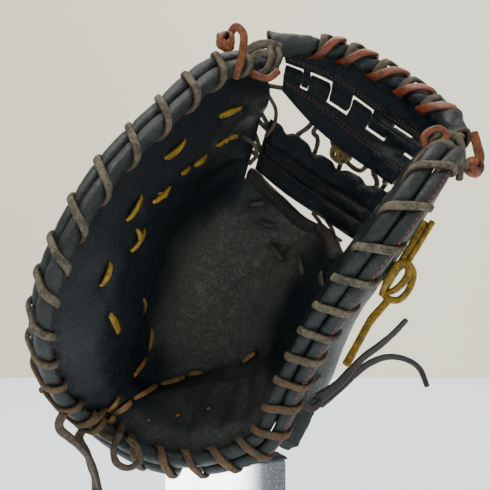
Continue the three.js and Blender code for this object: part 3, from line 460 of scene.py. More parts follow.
def wall_mesh(front, back, there=None, closed=False):
    """Points and faces of a wall between two grids (columns, rows, 3), with its borders closed."""
    columns, rows = front.shape[:2]
    cells = columns if closed else columns - 1
    if there is None:
        there = np.ones((cells, rows - 1), bool)
    points = np.concatenate([front.reshape(-1, 3), back.reshape(-1, 3)])
    ahead = grid_faces(columns, rows, there, closed)
    shift = columns * rows
    faces = [tuple(reversed(face)) for face in ahead]
    faces += [tuple(index + shift for index in face) for face in ahead]

    def filled(column, row):
        if closed:
            column %= cells
        return 0 <= column < cells and 0 <= row < rows - 1 and there[column, row]

    def corner(column, row):
        return (column % columns) * rows + row

    for column in range(cells):
        for row in range(rows - 1):
            if not there[column, row]:
                continue
            borders = (
                ((column - 1, row), (column, row), (column, row + 1)),
                ((column, row + 1), (column, row + 1), (column + 1, row + 1)),
                ((column + 1, row), (column + 1, row + 1), (column + 1, row)),
                ((column, row - 1), (column + 1, row), (column, row)),
            )
            for beyond, start, end in borders:
                if not filled(*beyond):
                    a, b = corner(*start), corner(*end)
                    faces.append((a, b, b + shift, a + shift))
    return points, faces


def drop_loose(piece):
    """Removes points that no face uses."""
    mesh = piece.data
    used = np.zeros(len(mesh.vertices), bool)
    loops = np.zeros(len(mesh.loops), np.int32)
    mesh.loops.foreach_get("vertex_index", loops)
    used[loops] = True
    work = bmesh.new()
    work.from_mesh(mesh)
    work.verts.ensure_lookup_table()
    loose = [vert for vert in work.verts if not used[vert.index]]
    bmesh.ops.delete(work, geom=loose, context="VERTS")
    bmesh.ops.recalc_face_normals(work, faces=work.faces)
    work.to_mesh(mesh)
    work.free()


BEVEL_STEPS = 3
BEVEL_ANGLE = math.radians(50)


def soften(piece, width):
    """Rounds the sharp borders of a wall, and applies it."""
    bevel = piece.modifiers.new("soft_edges", "BEVEL")
    bevel.width = width / METRE
    bevel.segments = BEVEL_STEPS
    bevel.limit_method = "ANGLE"
    bevel.angle_limit = BEVEL_ANGLE
    bevel.use_clamp_overlap = True
    bpy.context.view_layer.update()
    evaluated = piece.evaluated_get(bpy.context.evaluated_depsgraph_get())
    mesh = bpy.data.meshes.new_from_object(evaluated)
    piece.modifiers.clear()
    piece.data = mesh
    mesh.polygons.foreach_set("use_smooth", [True] * len(mesh.polygons))


def ways_along(points):
    """The way along a path at each of its points."""
    return unit(np.gradient(points, axis=0))


def smooth_path(points, steps):
    """A centripetal Catmull-Rom curve through points, as the part's source lays its cords."""
    points = np.asarray(points, float)
    knots = np.vstack([2 * points[0] - points[1], points, 2 * points[-1] - points[-2]])
    found = []
    spans = len(points) - 1
    for step in range(steps + 1):
        at = min(step / steps * spans, spans - 1e-9)
        cell = int(at)
        share = at - cell
        p0, p1, p2, p3 = knots[cell:cell + 4]
        gaps = [max(np.linalg.norm(b - a), 1e-6) ** 0.5 for a, b in ((p0, p1), (p1, p2), (p2, p3))]
        t1 = ((p1 - p0) / gaps[0] - (p2 - p0) / (gaps[0] + gaps[1]) + (p2 - p1) / gaps[1]) * gaps[1]
        t2 = ((p2 - p1) / gaps[1] - (p3 - p1) / (gaps[1] + gaps[2]) + (p3 - p2) / gaps[2]) * gaps[1]
        squared = (-3 * p1 + 3 * p2 - 2 * t1 - t2) * share**2
        cubed = (2 * p1 - 2 * p2 + t1 + t2) * share**3
        found.append(p1 + t1 * share + squared + cubed)
    return np.array(found)


def rings_to_mesh(rings):
    """A closed skin over rings of points (count, sides, 3), with a point at each end."""
    count, sides = rings.shape[:2]
    points = np.concatenate([rings.reshape(-1, 3), rings[:1].mean(axis=1), rings[-1:].mean(axis=1)])
    faces = []
    for ring in range(count - 1):
        for side in range(sides):
            beside = (side + 1) % sides
            a, b = ring * sides + side, ring * sides + beside
            faces.append((a, b, b + sides, a + sides))
    start, end = count * sides, count * sides + 1
    last = (count - 1) * sides
    for side in range(sides):
        beside = (side + 1) % sides
        faces.append((start, beside, side))
        faces.append((end, last + side, last + beside))
    return points, faces


def rounded_ends(rings, amount):
    """Adds rings that close in over the ends, amount millimetres out."""
    first, last = rings[0], rings[-1]
    middle_first, middle_last = first.mean(0), last.mean(0)
    way_first = unit(middle_first - rings[1].mean(0))
    way_last = unit(middle_last - rings[-2].mean(0))
    before, after = [], []
    for angle in (30, 60, 80):
        keep, out = math.cos(math.radians(angle)), amount * math.sin(math.radians(angle))
        before.insert(0, middle_first + (first - middle_first) * keep + way_first * out)
        after.append(middle_last + (last - middle_last) * keep + way_last * out)
    return np.concatenate([np.array(before), rings, np.array(after)])


def tube_rings(centres, side, face, radius, sides, squareness=1.0):
    """Rings round a path; radius is a number or (count, sides), squareness under 1 flattens the sides."""
    angles = np.arange(sides) / sides * 2 * math.pi
    radius = np.broadcast_to(np.asarray(radius, float), (len(centres), sides))
    x = np.sign(np.cos(angles)) * np.abs(np.cos(angles)) ** squareness
    y = np.sign(np.sin(angles)) * np.abs(np.sin(angles)) ** squareness
    ring = side[:, None, :] * x[None, :, None] + face[:, None, :] * y[None, :, None]
    return centres[:, None, :] + ring * radius[..., None], unit(ring)


RIBBON_SIDES = 16


def ribbon_section(width, thickness, roundness):
    """The rounded section of a flat lace, and how near each of its points is to the lace's cut edge."""
    angles = (np.arange(RIBBON_SIDES) + 0.5) / RIBBON_SIDES * 2 * math.pi
    x = np.sign(np.cos(angles)) * np.abs(np.cos(angles)) ** roundness
    y = np.sign(np.sin(angles)) * np.abs(np.sin(angles)) ** (roundness * 1.2)
    return x * width / 2, y * thickness / 2, smooth(0.75, 0.98, np.abs(x))


def ribbon(name, path, ups, width, thickness, twist=None, uneven=0.06, roundness=0.6, taper=None):
    """A flat lace along a path, with soft edges and an uneven width; taper scales it along the way."""
    path = np.asarray(path, float)
    ways = ways_along(path)
    ups = np.broadcast_to(np.asarray(ups, float), path.shape)
    side = unit(np.cross(ups, ways))
    up = np.cross(ways, side)
    if twist is not None:
        turn = np.asarray(twist, float)[:, None]
        turned_side = side * np.cos(turn) + up * np.sin(turn)
        up = up * np.cos(turn) - side * np.sin(turn)
        side = turned_side
    x, y, edge = ribbon_section(width, thickness, roundness)
    swell = 1 + uneven * (waves(path, 23) + 0.5 * waves(path, 5))[:, None, None]
    scale = np.ones(len(path)) if taper is None else np.asarray(taper, float)
    across = side[:, None, :] * x[None, :, None] * swell
    rings = path[:, None, :] + (across + up[:, None, :] * y[None, :, None] * swell) * scale[:, None, None]
    rings = rounded_ends(rings, thickness * 0.35)
    points, faces = rings_to_mesh(rings)
    edges = np.concatenate([np.tile(edge, len(rings)), [1, 1]])
    return make_object(name, points, faces, {"edge": edges})


def join(name, pieces):
    """Joins mesh objects into one, which keeps the first one's materials."""
    bpy.ops.object.select_all(action="DESELECT")
    for piece in pieces:
        piece.select_set(True)
    bpy.context.view_layer.objects.active = pieces[0]
    bpy.ops.object.join()
    pieces[0].name = name
    return pieces[0]


def lace_along(name, route, steps, width, thickness, uneven=0.06, roundness=0.6):
    """A lace on a smooth curve through a route, with its flat side to the viewer."""
    return ribbon(name, smooth_path(route, steps), TOWARD_VIEWER, width, thickness, None, uneven, roundness)


# Rows of sewing thread, in millimetres
BACK_THREAD = {"length": 3.0, "gap": 1.6, "radius": 0.4, "lift": 0.2}
ROLL_THREAD = {"length": 2.5, "gap": 1.3, "radius": 0.38, "lift": 0.15}
STRAP_THREAD = {"length": 3.0, "gap": 1.6, "radius": 0.4, "lift": 0.1}
WEB_THREAD = {"length": 2.0, "gap": 0.9, "radius": 0.26, "lift": 0.1}
WEB_BASE_THREAD = {"length": 2.0, "gap": 1.6, "radius": 0.28, "lift": 0.1}
STITCH_STEPS = 5
STITCH_SIDES = 6


def stitches(name, path, ups, length, gap, radius, lift):
    """Stitches of sewing thread along a path on a surface."""
    path = np.asarray(path, float)
    steps = np.linalg.norm(np.diff(path, axis=0), axis=1)
    along = np.concatenate([[0], np.cumsum(steps)])
    ups = unit(np.broadcast_to(np.asarray(ups, float), path.shape))
    points, faces = [], []
    start = 0.0
    shares = np.linspace(0, 1, STITCH_STEPS)
    while start + length < along[-1]:
        places = start + shares * length
        centre = np.stack([np.interp(places, along, path[:, axis]) for axis in range(3)], axis=-1)
        up = unit(np.stack([np.interp(places, along, ups[:, axis]) for axis in range(3)], axis=-1))
        centre = centre + up * (lift + radius * 0.5 * np.sin(shares * math.pi) - radius * 0.2)[:, None]
        way = ways_along(centre)
        side = unit(np.cross(up, way))
        thick = radius * (0.45 + 0.55 * np.sin(shares * math.pi) ** 0.5)
        thick = np.repeat(thick[:, None], STITCH_SIDES, axis=1)
        rings, _ = tube_rings(centre, side, np.cross(way, side), thick, STITCH_SIDES)
        ring_points, ring_faces = rings_to_mesh(rings)
        offset = sum(len(group) for group in points)
        points.append(ring_points)
        faces += [tuple(index + offset for index in face) for face in ring_faces]
        start += length + gap
    return make_object(name, np.concatenate(points), faces)


# Shader maths: a wrapped socket adds its Math nodes from plain Python expressions
class Value:
    def __init__(self, finish, socket):
        self.finish = finish
        self.socket = socket

    def maths(self, operation, first, second):
        settings = {"operation": operation}
        return self.finish.node("ShaderNodeMath", settings, {0: first, 1: second})

    def __add__(self, other):
        return self.maths("ADD", self, other)

    def __radd__(self, other):
        return self.maths("ADD", other, self)

    def __sub__(self, other):
        return self.maths("SUBTRACT", self, other)

    def __rsub__(self, other):
        return self.maths("SUBTRACT", other, self)

    def __mul__(self, other):
        return self.maths("MULTIPLY", self, other)

    def __rmul__(self, other):
        return self.maths("MULTIPLY", other, self)


class Finish:
    """One material, whose nodes all come from one method."""

    def __init__(self, name):
        self.material = bpy.data.materials.new(name)
        self.material.use_nodes = True
        self.tree = self.material.node_tree
        self.shader = self.tree.nodes["Principled BSDF"]
        self.here = self.node("ShaderNodeTexCoord", {}, {}, "Object")

    def node(self, kind, settings, sockets, output=0):
        """A new node: its settings go in first, then the values or links of its sockets."""
        made = self.tree.nodes.new(kind)
        for name, value in settings.items():
            setattr(made, name, value)
        for key, value in sockets.items():
            if isinstance(value, Value):
                self.tree.links.new(value.socket, made.inputs[key])
            else:
                made.inputs[key].default_value = value
        return Value(self, made.outputs[output])

    def attribute(self, name):
        return self.node("ShaderNodeAttribute", {"attribute_name": name}, {}, "Fac")

    def noise(self, scale, detail=3.0, roughness=0.55, stretch=None, distortion=0.0):
        place = self.here
        if stretch is not None:
            place = self.node("ShaderNodeMapping", {}, {"Vector": place, "Scale": stretch})
        sockets = {"Vector": place, "Scale": scale, "Detail": detail, "Roughness": roughness,
                   "Distortion": distortion}
        return self.node("ShaderNodeTexNoise", {}, sockets, "Fac")

    def axis(self, name):
        """One coordinate of the place, in metres."""
        return self.node("ShaderNodeSeparateXYZ", {}, {0: self.here}, name)

    def band(self, value, low, high, to_low=0.0, to_high=1.0):
        """A soft step of value between low and high, from to_low to to_high."""
        sockets = {"Value": value, "From Min": low, "From Max": high, "To Min": to_low, "To Max": to_high}
        settings = {"interpolation_type": "SMOOTHSTEP"}
        return self.node("ShaderNodeMapRange", settings, sockets, "Result")

    def mix(self, factor, first, second):
        return self.node("ShaderNodeMix", {"data_type": "RGBA"}, {0: factor, 6: first, 7: second}, 2)

    def bump(self, height, strength, distance, below=None):
        sockets = {"Height": height, "Strength": strength, "Distance": distance}
        if below is not None:
            sockets["Normal"] = below
        return self.node("ShaderNodeBump", {}, sockets, "Normal")

    def feed(self, **sockets):
        """Sets or links the shader's own sockets; underscores stand for spaces."""
        for key, value in sockets.items():
            socket = self.shader.inputs[key.replace("_", " ")]
            if isinstance(value, Value):
                self.tree.links.new(value.socket, socket)
            else:
                socket.default_value = value


def rgba(colour):
    return (*colour, 1.0)


def scaled(colour, factor):
    return [channel * factor for channel in colour]


def leather(name, dark, worn, rough=(0.42, 0.62), grain=1.0, labels=(None, None), shine=0.3):
    """Fine leather with wrinkles and pores, painted darker in the wrinkles' valleys as shade; labels name the
    attributes for its worn places with painted shade and for the painted shade in its hollows.
    """
    wear_and_shade_label, hollow_shade_label = labels
    finish = Finish(name)
    blotches = finish.noise(24, 4, 0.6)
    scuffs = finish.noise(190, 5, 0.68)
    pores = finish.noise(1300, 2, 0.5)
    swirls = finish.noise(250, 3, 0.55, None, 0.7) - 0.5
    wrinkles = finish.band(swirls * swirls, 0.0, 0.005)
    folds = finish.noise(75, 4, 0.6, None, 0.6)
    rubbed_and_shaded = finish.band(blotches * 0.6 + scuffs * 0.4, 0.44, 0.7)
    # On the palm this attribute also carries painted shade higher up the pocket.
    if wear_and_shade_label is not None:
        rubbed_and_shaded = finish.band(finish.attribute(wear_and_shade_label) * 0.85 + scuffs * 0.12 + blotches * 0.4, 0.3, 1.2)
    # Wrinkle valleys are painted darker as shade, and low scuffs add their own darker tone.
    ridges = finish.band(wrinkles + scuffs * 0.5, 0.1, 1.1, 0.7, 1.0)
    colour = finish.mix(rubbed_and_shaded, rgba(dark), rgba(worn))
    shade = finish.mix(ridges, rgba(scaled(dark, 0.5)), colour)
    # Round the laces and in the creases the colour goes nearly to black: painted shade.
    if hollow_shade_label is not None:
        shade = finish.mix(finish.attribute(hollow_shade_label), shade, rgba((0.004, 0.004, 0.004)))
    finish.feed(Base_Color=shade)
    finish.feed(Roughness=finish.band(scuffs + rubbed_and_shaded * 0.3, 0.3, 0.9, *rough))
    coarse = finish.bump(folds, 0.45 * grain, 0.0016)
    middle = finish.bump(wrinkles * (rubbed_and_shaded * 0.75 + 0.25), 0.8 * grain, 0.0008, coarse)
    finish.feed(Normal=finish.bump(pores, 0.25 * grain, 0.0002, middle))
    finish.feed(Specular_IOR_Level=shine)
    return finish.material


def rawhide(name, top, edge, dirt_and_shade, rough=0.66, low_top=None, shine=0.3):
    """Lace leather: a mottled top with dark patches of dirt and painted shade, sides painted darker as shade,
    and fibres; low_top takes over towards the heel.
    """
    finish = Finish(name)
    fibres = finish.noise(900, 4, 0.7)
    patches = finish.noise(120, 4, 0.65)
    mottle = finish.noise(420, 3, 0.6, None, 0.8)
    rim = finish.attribute("edge")
    top_colour = rgba(top)
    if low_top is not None:
        lower = finish.band(finish.axis("Z") + (patches - 0.5) * 0.06, 0.21, 0.12)
        top_colour = finish.mix(lower, rgba(top), rgba(low_top))
    # Dark patches, which stand for dirt and for painted shade on the half-shadowed stitches.
    dirt_and_shade_patches = finish.band(patches * 0.45 + mottle * 0.55, 0.42, 0.6)
    colour = finish.mix(dirt_and_shade_patches, top_colour, rgba(dirt_and_shade))
    # The lace's sides are painted darker: painted shade on its rounded edges.
    colour = finish.mix(finish.band(rim * 0.9 + (mottle - 0.5) * 0.9, 0.3, 0.95), colour, rgba(edge))
    light = finish.band(fibres, 0.5, 0.7, 0.0, 0.4)
    colour = finish.mix(light, colour, rgba([min(c * 1.7, 1) for c in top]))
    finish.feed(Base_Color=colour)
    finish.feed(Roughness=finish.band(fibres, 0.3, 0.7, rough - 0.1, rough + 0.12))
    rough_skin = finish.bump(mottle, 0.45, 0.0006)
    finish.feed(Normal=finish.bump(fibres, 0.45, 0.0004, rough_skin))
    finish.feed(Specular_IOR_Level=shine)
    return finish.material


def thread(name, colour):
    """Sewing thread with a slight twist in it."""
    finish = Finish(name)
    fibre = finish.noise(1500, 2, 0.5)
    finish.feed(Base_Color=finish.mix(fibre, rgba(scaled(colour, 0.45)), rgba(colour)))
    finish.feed(Roughness=0.6)
    return finish.material


def clear_block(name):
    """Clear cast acrylic with faint scratches; its milky left side glows white, which is painted light, and
    its right side is painted dark, which is painted shade.
    """
    finish = Finish(name)
    scratches = finish.noise(220, 4, 0.7, (1, 1, 3))
    specks = finish.noise(900, 2, 0.6)
    cloud = finish.band(finish.noise(18, 2, 0.5), 0.35, 0.65)
    across = finish.axis("X")
    clear = finish.mix(cloud, (1.0, 1.0, 1.0, 1), (0.85, 0.95, 0.9, 1))
    # Towards the right the block is painted dark: painted shade on the side turned from the key light.
    shade = finish.mix(finish.band(specks, 0.5, 0.62), (0.02, 0.022, 0.027, 1), (0.08, 0.086, 0.1, 1))
    darker = finish.band(across, -0.018, 0.004)
    finish.feed(Base_Color=finish.mix(darker, clear, shade))
    # The block glows white on its left: painted light.
    finish.feed(Emission_Color=finish.mix(darker, clear, (0.003, 0.003, 0.004, 1)))
    finish.feed(Emission_Strength=4.0)
    finish.feed(Transmission_Weight=0.2)
    finish.feed(IOR=1.49)
    finish.feed(Roughness=finish.band(scratches, 0.45, 0.75, 0.05, 0.22))
    return finish.material


def felt(name, colour):
    """Fuzzy dark pad under the heel."""
    finish = Finish(name)
    fuzz = finish.noise(700, 5, 0.75)
    finish.feed(Base_Color=finish.mix(fuzz, rgba(scaled(colour, 0.35)), rgba(scaled(colour, 1.9))))
    finish.feed(Roughness=0.95)
    finish.feed(Normal=finish.bump(fuzz, 0.9, 0.0012))
    return finish.material


def stage_paint(name, left, right, rough, glow=0.0, ribs=0.0):
    """Matt paint for the table and the wall, a little brighter to the right as painted light; ribs run across
    a table.
    """
    finish = Finish(name)
    cloud = finish.noise(1.2, 2, 0.5)
    # Brighter to the right: painted light on the backdrop.
    across = finish.band(finish.axis("X") + (cloud - 0.5) * 0.2, -0.42, 0.42)
    colour = finish.mix(across, rgba(left), rgba(right))
    if ribs:
        wave = finish.node("ShaderNodeTexWave", {"bands_direction": "Y"},
                           {"Vector": finish.here, "Scale": ribs, "Distortion": 0.15}, "Fac")
        colour = finish.mix(finish.band(wave, 0.0, 0.5, 0.07, 0.0), colour, (0.62, 0.64, 0.68, 1))
    finish.feed(Base_Color=colour)
    finish.feed(Roughness=rough)
    if glow:
        finish.feed(Emission_Color=colour)
        finish.feed(Emission_Strength=glow)
    return finish.material


def finish_piece(piece, material, slot, *nodes):
    """Gives a piece its material, hides the CAD nodes that it stands for and hangs it on the root body; slot
    is not used.
    """
    piece.data.materials.clear()
    piece.data.materials.append(material)
    if nodes:
        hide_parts(*nodes)
    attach(piece, "root")
    return piece


# Settings that a user would change
class MittSizes(bpy.types.PropertyGroup):
    lace_width: FloatProperty(
        name="Lace width", description="Width of the flat laces, in millimetres", default=5.0, min=3, max=8)
    lace_thickness: FloatProperty(
        name="Lace thickness", description="Thickness of the laces, in millimetres",
        default=2.2, min=1, max=4)
    tie_width: FloatProperty(
        name="Tie width", description="Width of the ties behind the web, in millimetres",
        default=4.0, min=2, max=6)
    seam_depth: FloatProperty(
        name="Seam depth", description="Depth of the sewn creases in the palm, in millimetres",
        default=2.4, min=0, max=5)
    columns_per_place: IntProperty(
        name="Columns", description="Grid columns for each place of the rim", default=14, min=4, max=32)
    grain: FloatProperty(
        name="Grain", description="Strength of the leather's grain", default=1.0, min=0, max=3)


class MittColours(bpy.types.PropertyGroup):
    navy: FloatVectorProperty(
        name="Navy", description="Unworn leather", subtype="COLOR", size=3, default=(0.0043, 0.0068, 0.0083))
    worn_palm: FloatVectorProperty(
        name="Worn palm", description="Rubbed pocket leather", subtype="COLOR", size=3,
        default=(0.082, 0.087, 0.067))
    slate: FloatVectorProperty(
        name="Slate", description="Worn rolls and edges", subtype="COLOR", size=3,
        default=(0.048, 0.057, 0.052))
    taupe: FloatVectorProperty(
        name="Taupe", description="Rim lace", subtype="COLOR", size=3, default=(0.125, 0.107, 0.073))
    orange: FloatVectorProperty(
        name="Orange", description="Web lace", subtype="COLOR", size=3, default=(0.2, 0.046, 0.012))
    yellow: FloatVectorProperty(
        name="Yellow", description="Finger laces and ties", subtype="COLOR", size=3,
        default=(0.31, 0.185, 0.01))
    brown: FloatVectorProperty(
        name="Brown", description="Dry dark laces", subtype="COLOR", size=3, default=(0.036, 0.03, 0.026))
    red_thread: FloatVectorProperty(
        name="Red thread", description="Sewing thread", subtype="COLOR", size=3, default=(0.33, 0.03, 0.02))


MATERIALS = {}


def material(kind):
    """The named material, made once."""
    if kind not in MATERIALS:
        colours = bpy.context.scene.mitt_colours
        grain = bpy.context.scene.mitt_sizes.grain
        makers = {
            "palm": lambda: leather("palm_leather", colours.navy, colours.worn_palm, (0.42, 0.6), grain,
                                    ("wear_and_shade", "hollow"), 0.24),
            "navy": lambda: leather("navy_leather", colours.navy, scaled(colours.navy, 1.5), (0.4, 0.58),
                                    grain * 0.9, (None, None), 0.16),
            "slate": lambda: leather("worn_roll_leather", scaled(colours.slate, 0.3),
                                     scaled(colours.slate, 0.8), (0.42, 0.62), grain * 0.7),
            "strip": lambda: leather("worn_strip_leather", (0.012, 0.01, 0.008), (0.05, 0.04, 0.028),
                                     (0.5, 0.7), grain),
            "back": lambda: leather("back_leather", scaled(colours.slate, 0.3),
                                    scaled(colours.slate, 0.7), (0.42, 0.6), grain),
            "rim_lace": lambda: rawhide("rim_lace", colours.taupe, (0.05, 0.034, 0.02),
                                        scaled(colours.taupe, 0.36), 0.75, (0.11, 0.06, 0.022), 0.15),
            "under_lace": lambda: rawhide("under_lace", (0.075, 0.058, 0.034), (0.028, 0.02, 0.012),
                                          (0.03, 0.022, 0.012), 0.6),
            "orange_lace": lambda: rawhide("orange_lace", colours.orange, scaled(colours.orange, 0.3),
                                           scaled(colours.orange, 0.42), 0.42, None, 0.5),
            "knot_lace": lambda: rawhide("knot_lace", (0.2, 0.052, 0.012), (0.04, 0.016, 0.007),
                                         (0.07, 0.028, 0.011), 0.45),
            "yellow_lace": lambda: rawhide("yellow_lace", colours.yellow, scaled(colours.yellow, 0.25),
                                           scaled(colours.yellow, 0.34), 0.5),
            "brown_lace": lambda: rawhide("brown_lace", colours.brown, scaled(colours.brown, 0.5),
                                          scaled(colours.brown, 0.6), 0.55),
            "tail_lace": lambda: rawhide("tail_lace", (0.085, 0.06, 0.034), (0.03, 0.021, 0.013),
                                         (0.028, 0.021, 0.014), 0.65),
            "crease_lace": lambda: rawhide("crease_lace", (0.2, 0.105, 0.026), (0.045, 0.026, 0.009),
                                           (0.075, 0.045, 0.016), 0.5),
            "olive_lace": lambda: rawhide("olive_lace", (0.15, 0.1, 0.03), (0.04, 0.028, 0.01),
                                          (0.05, 0.034, 0.014), 0.55),
            "pocket_lace": lambda: rawhide("pocket_lace", (0.062, 0.052, 0.038), (0.03, 0.024, 0.017),
                                           (0.03, 0.026, 0.02), 0.6),
            "thread": lambda: thread("red_thread", colours.red_thread),
            "dull_thread": lambda: thread("dull_thread", (0.13, 0.055, 0.036)),
            "dark_thread": lambda: thread("dark_thread", (0.13, 0.02, 0.015)),
            "acrylic": lambda: clear_block("clear_acrylic"),
            "felt": lambda: felt("navy_felt", (0.03, 0.035, 0.05)),
            "floor": lambda: stage_paint("floor_paint", (0.83, 0.9, 1.0), (0.84, 0.88, 0.96), 0.4, 0.47, 21),
            "wall": lambda: stage_paint("wall_paint", (0.73, 0.68, 0.49), (0.87, 0.83, 0.63), 0.9, 0.26),
        }
        MATERIALS[kind] = makers[kind]()
    return MATERIALS[kind]


def sizes():
    return bpy.context.scene.mitt_sizes


RIM_LACE_WIDTH = 4.7
RIM_LACE_THICKNESS = 2.9


def seat_radius():
    """How far from a binding's centre the middle of the lace over it lies."""
    return BINDING_RADIUS - 0.45 + RIM_LACE_THICKNESS / 2


def rim_lace_path(places):
    """The lace that winds round both bindings, with the way each point's flat side looks."""
    radius = seat_radius()
    arc = np.radians(np.arange(0, 181, 10))
    columns, outs, faces, ups = [], [], [], []
    over = []
    for angle in arc:
        out, face = -radius * math.cos(angle), ROLL_FACE + radius * math.sin(angle)
        over.append((out, face, (-math.cos(angle), math.sin(angle))))
    beside = [(radius, face, (1, 0)) for face in np.linspace(ROLL_FACE, -ROLL_FACE, 7)[1:-1]]
    behind = [(-out, -face, (-up[0], -up[1])) for out, face, up in over]
    inside = [(-radius, face, (-1, 0)) for face in np.linspace(-ROLL_FACE, ROLL_FACE, 6)[1:-1]]
    turn = over + beside + behind
    flat = np.array([(out, face) for out, face, _ in turn])
    steps = np.linalg.norm(np.diff(flat, axis=0), axis=1)
    done = np.concatenate([[0], np.cumsum(steps)]) / steps.sum()
    for k, hole in enumerate(places):
        last = k == len(places) - 1
        onward = 2 * hole - places[k - 1] if last else places[k + 1]
        count = len(over) + len(beside) if last else len(turn)
        for (out, face, up), share in list(zip(turn, done))[:count]:
            columns.append(hole + (onward - hole) * share * (1.35 - 0.35 * share))
            outs.append(out)
            faces.append(face)
            ups.append(up)
        if not last:
            for out, face, up in inside:
                columns.append(onward)
                outs.append(out)
                faces.append(face)
                ups.append(up)
    at, _, facing, outward = rim_frame(np.array(columns))
    ups = np.array(ups)
    path = at + outward * np.array(outs)[:, None] + facing * np.array(faces)[:, None]
    return path, outward * ups[:, :1] + facing * ups[:, 1:]


def hole_points():
    """Where the rim laces enter the palm leather."""
    holes = np.array(FINGER_HOLES + THUMB_HOLES)
    return near_rim(holes, np.full(len(holes), -seat_radius()), np.full(len(holes), PALM_EDGE_WALL))


def stitch_places(start, end, count):
    shares = np.linspace(0, 1, count)
    return start[0] + (end[0] - start[0]) * shares, start[1] + (end[1] - start[1]) * shares


def line_points(line):
    """Dense points on the palm along a line through places of the bowl."""
    return np.concatenate([palm_front(*stitch_places(a, b, 24)) for a, b in zip(line, line[1:])])


def lace_seats(names):
    """Points on the palm along every stitch of these laces."""
    return np.concatenate([palm_front(*stitch_places(a, b, 12)) for name in names for a, b in WOVEN[name]])


BACK_WEAR_AND_SHADE = 0.25


class MITT_OT_palm(bpy.types.Operator):
    """The padded palm leather: pocket, finger lobe, thumb lobe and heel"""
    bl_idname = "mitt.palm"
    bl_label = "Palm leather"

    def execute(self, context):
        per_place = sizes().columns_per_place
        columns = PLACES * per_place
        inner_rows = 22
        outer_rows = 62
        inner = np.linspace(0, EDGE_SHARE, inner_rows + 1)
        outer = np.linspace(EDGE_SHARE, 1.25, outer_rows + 1)[1:]
        shares = np.concatenate([inner, outer])
        place, share = np.meshgrid(np.arange(columns) / per_place, shares, indexing="ij")
        u, r = palm_place(place, share)
        depth = palm_depth(u, r)
        normal = bowl_normal(u, r)
        front = bowl(u, r) + normal * depth[..., None]
        back = on_palm(u, r, np.full_like(depth, CLEARANCE / 2))
        front = self.relief(r, front, normal)
        there = np.zeros((columns, len(shares) - 1), bool)
        there[:, :inner_rows] = True
        there[:TIP_PLACE * per_place, :] = True
        points, faces = wall_mesh(front, back, there, closed=True)
        # Worn leather together with painted shade higher up the pocket.
        wear_and_shade = self.wear_and_shade(u, r, front)
        # Painted shade round the laces and in the creases.
        hollow = self.hollow(front)
        values = {"wear_and_shade": np.concatenate([wear_and_shade.ravel(), wear_and_shade.ravel() * BACK_WEAR_AND_SHADE]),
                  "hollow": np.concatenate([hollow.ravel()] * 2)}
        piece = make_object("palm_leather", points, faces, values)
        drop_loose(piece)
        soften(piece, 1.6)
        finish_piece(piece, material("palm"), "navy_leather", "palm_shell")
        return {"FINISHED"}

    def relief(self, r, front, normal):
        """Sewn creases, dimples round the laces, folds of the heel pad and gentle unevenness."""
        depth = sizes().seam_depth
        for line in (HEEL_CREASE, FINGER_CREASE):
            front = dent(front, normal, line_points(line), depth, 3.6)
        for line in HEEL_FOLDS:
            front = dent(front, normal, line_points(line), 1.5, 4.5)
        for line in LOBE_FOLDS:
            front = dent(front, normal, line_points(line), 0.8, 3.0)
        seats = lace_seats(("finger_lace_outer", "finger_lace_inner", "pocket_lace"))
        front = dent(front, normal, seats, 1.3, 3.0)
        front = dent(front, normal, hole_points(), 1.3, 4.0)
        lobe = smooth(0.45, 0.7, r)
        uneven = 0.55 * waves(front, 48) * lobe + 0.3 * waves(front, 19) * lobe + 0.35 * waves(front, 70)
        pocket = (1 - smooth(0.25, 0.6, r)) * (0.15 * waves(front, 11) + 0.45 * waves(front, 33))
        return front + normal * (uneven + pocket)[..., None]

    def hollow(self, front):
        """Painted shade: how much darker the leather is painted round the laces and down in the creases."""
        laces = nearest(front, np.concatenate([lace_seats(list(WOVEN)), hole_points()]))
        creases = nearest(front, np.concatenate([line_points(HEEL_CREASE), line_points(FINGER_CREASE)]))
        return np.clip(0.8 * np.exp(-((laces / 2.6) ** 2)) + 0.75 * np.exp(-((creases / 3.0) ** 2)), 0, 0.9)

    def wear_and_shade(self, u, r, front):
        """How light the leather is: worn most on the pocket's floor, lighter by the rolls, and darker higher
        up the pocket, which is painted shade.
        """
        floor = 1 - smooth(0.14, 0.6, r)
        # Higher up the pocket the leather is made darker: painted shade.
        shaded = 0.35 * smooth(-5, 45, front[..., 2])
        heel = 0.4 * smooth(7, 8, u) * (1 - smooth(10.5, 11.5, u))
        lobe_crown = 0.12 * smooth(0.72, 0.86, r) * (1 - smooth(0.92, 1, r))
        total = floor - shaded + heel * smooth(0.3, 0.6, r) + lobe_crown + 0.1 * waves(front, 30)
        return np.clip(total, 0, 1)


BACK_SHELLS = {"finger": (0.5, 7.5), "thumb": (10.5, 15.5)}
BACK_INNER = 0.34


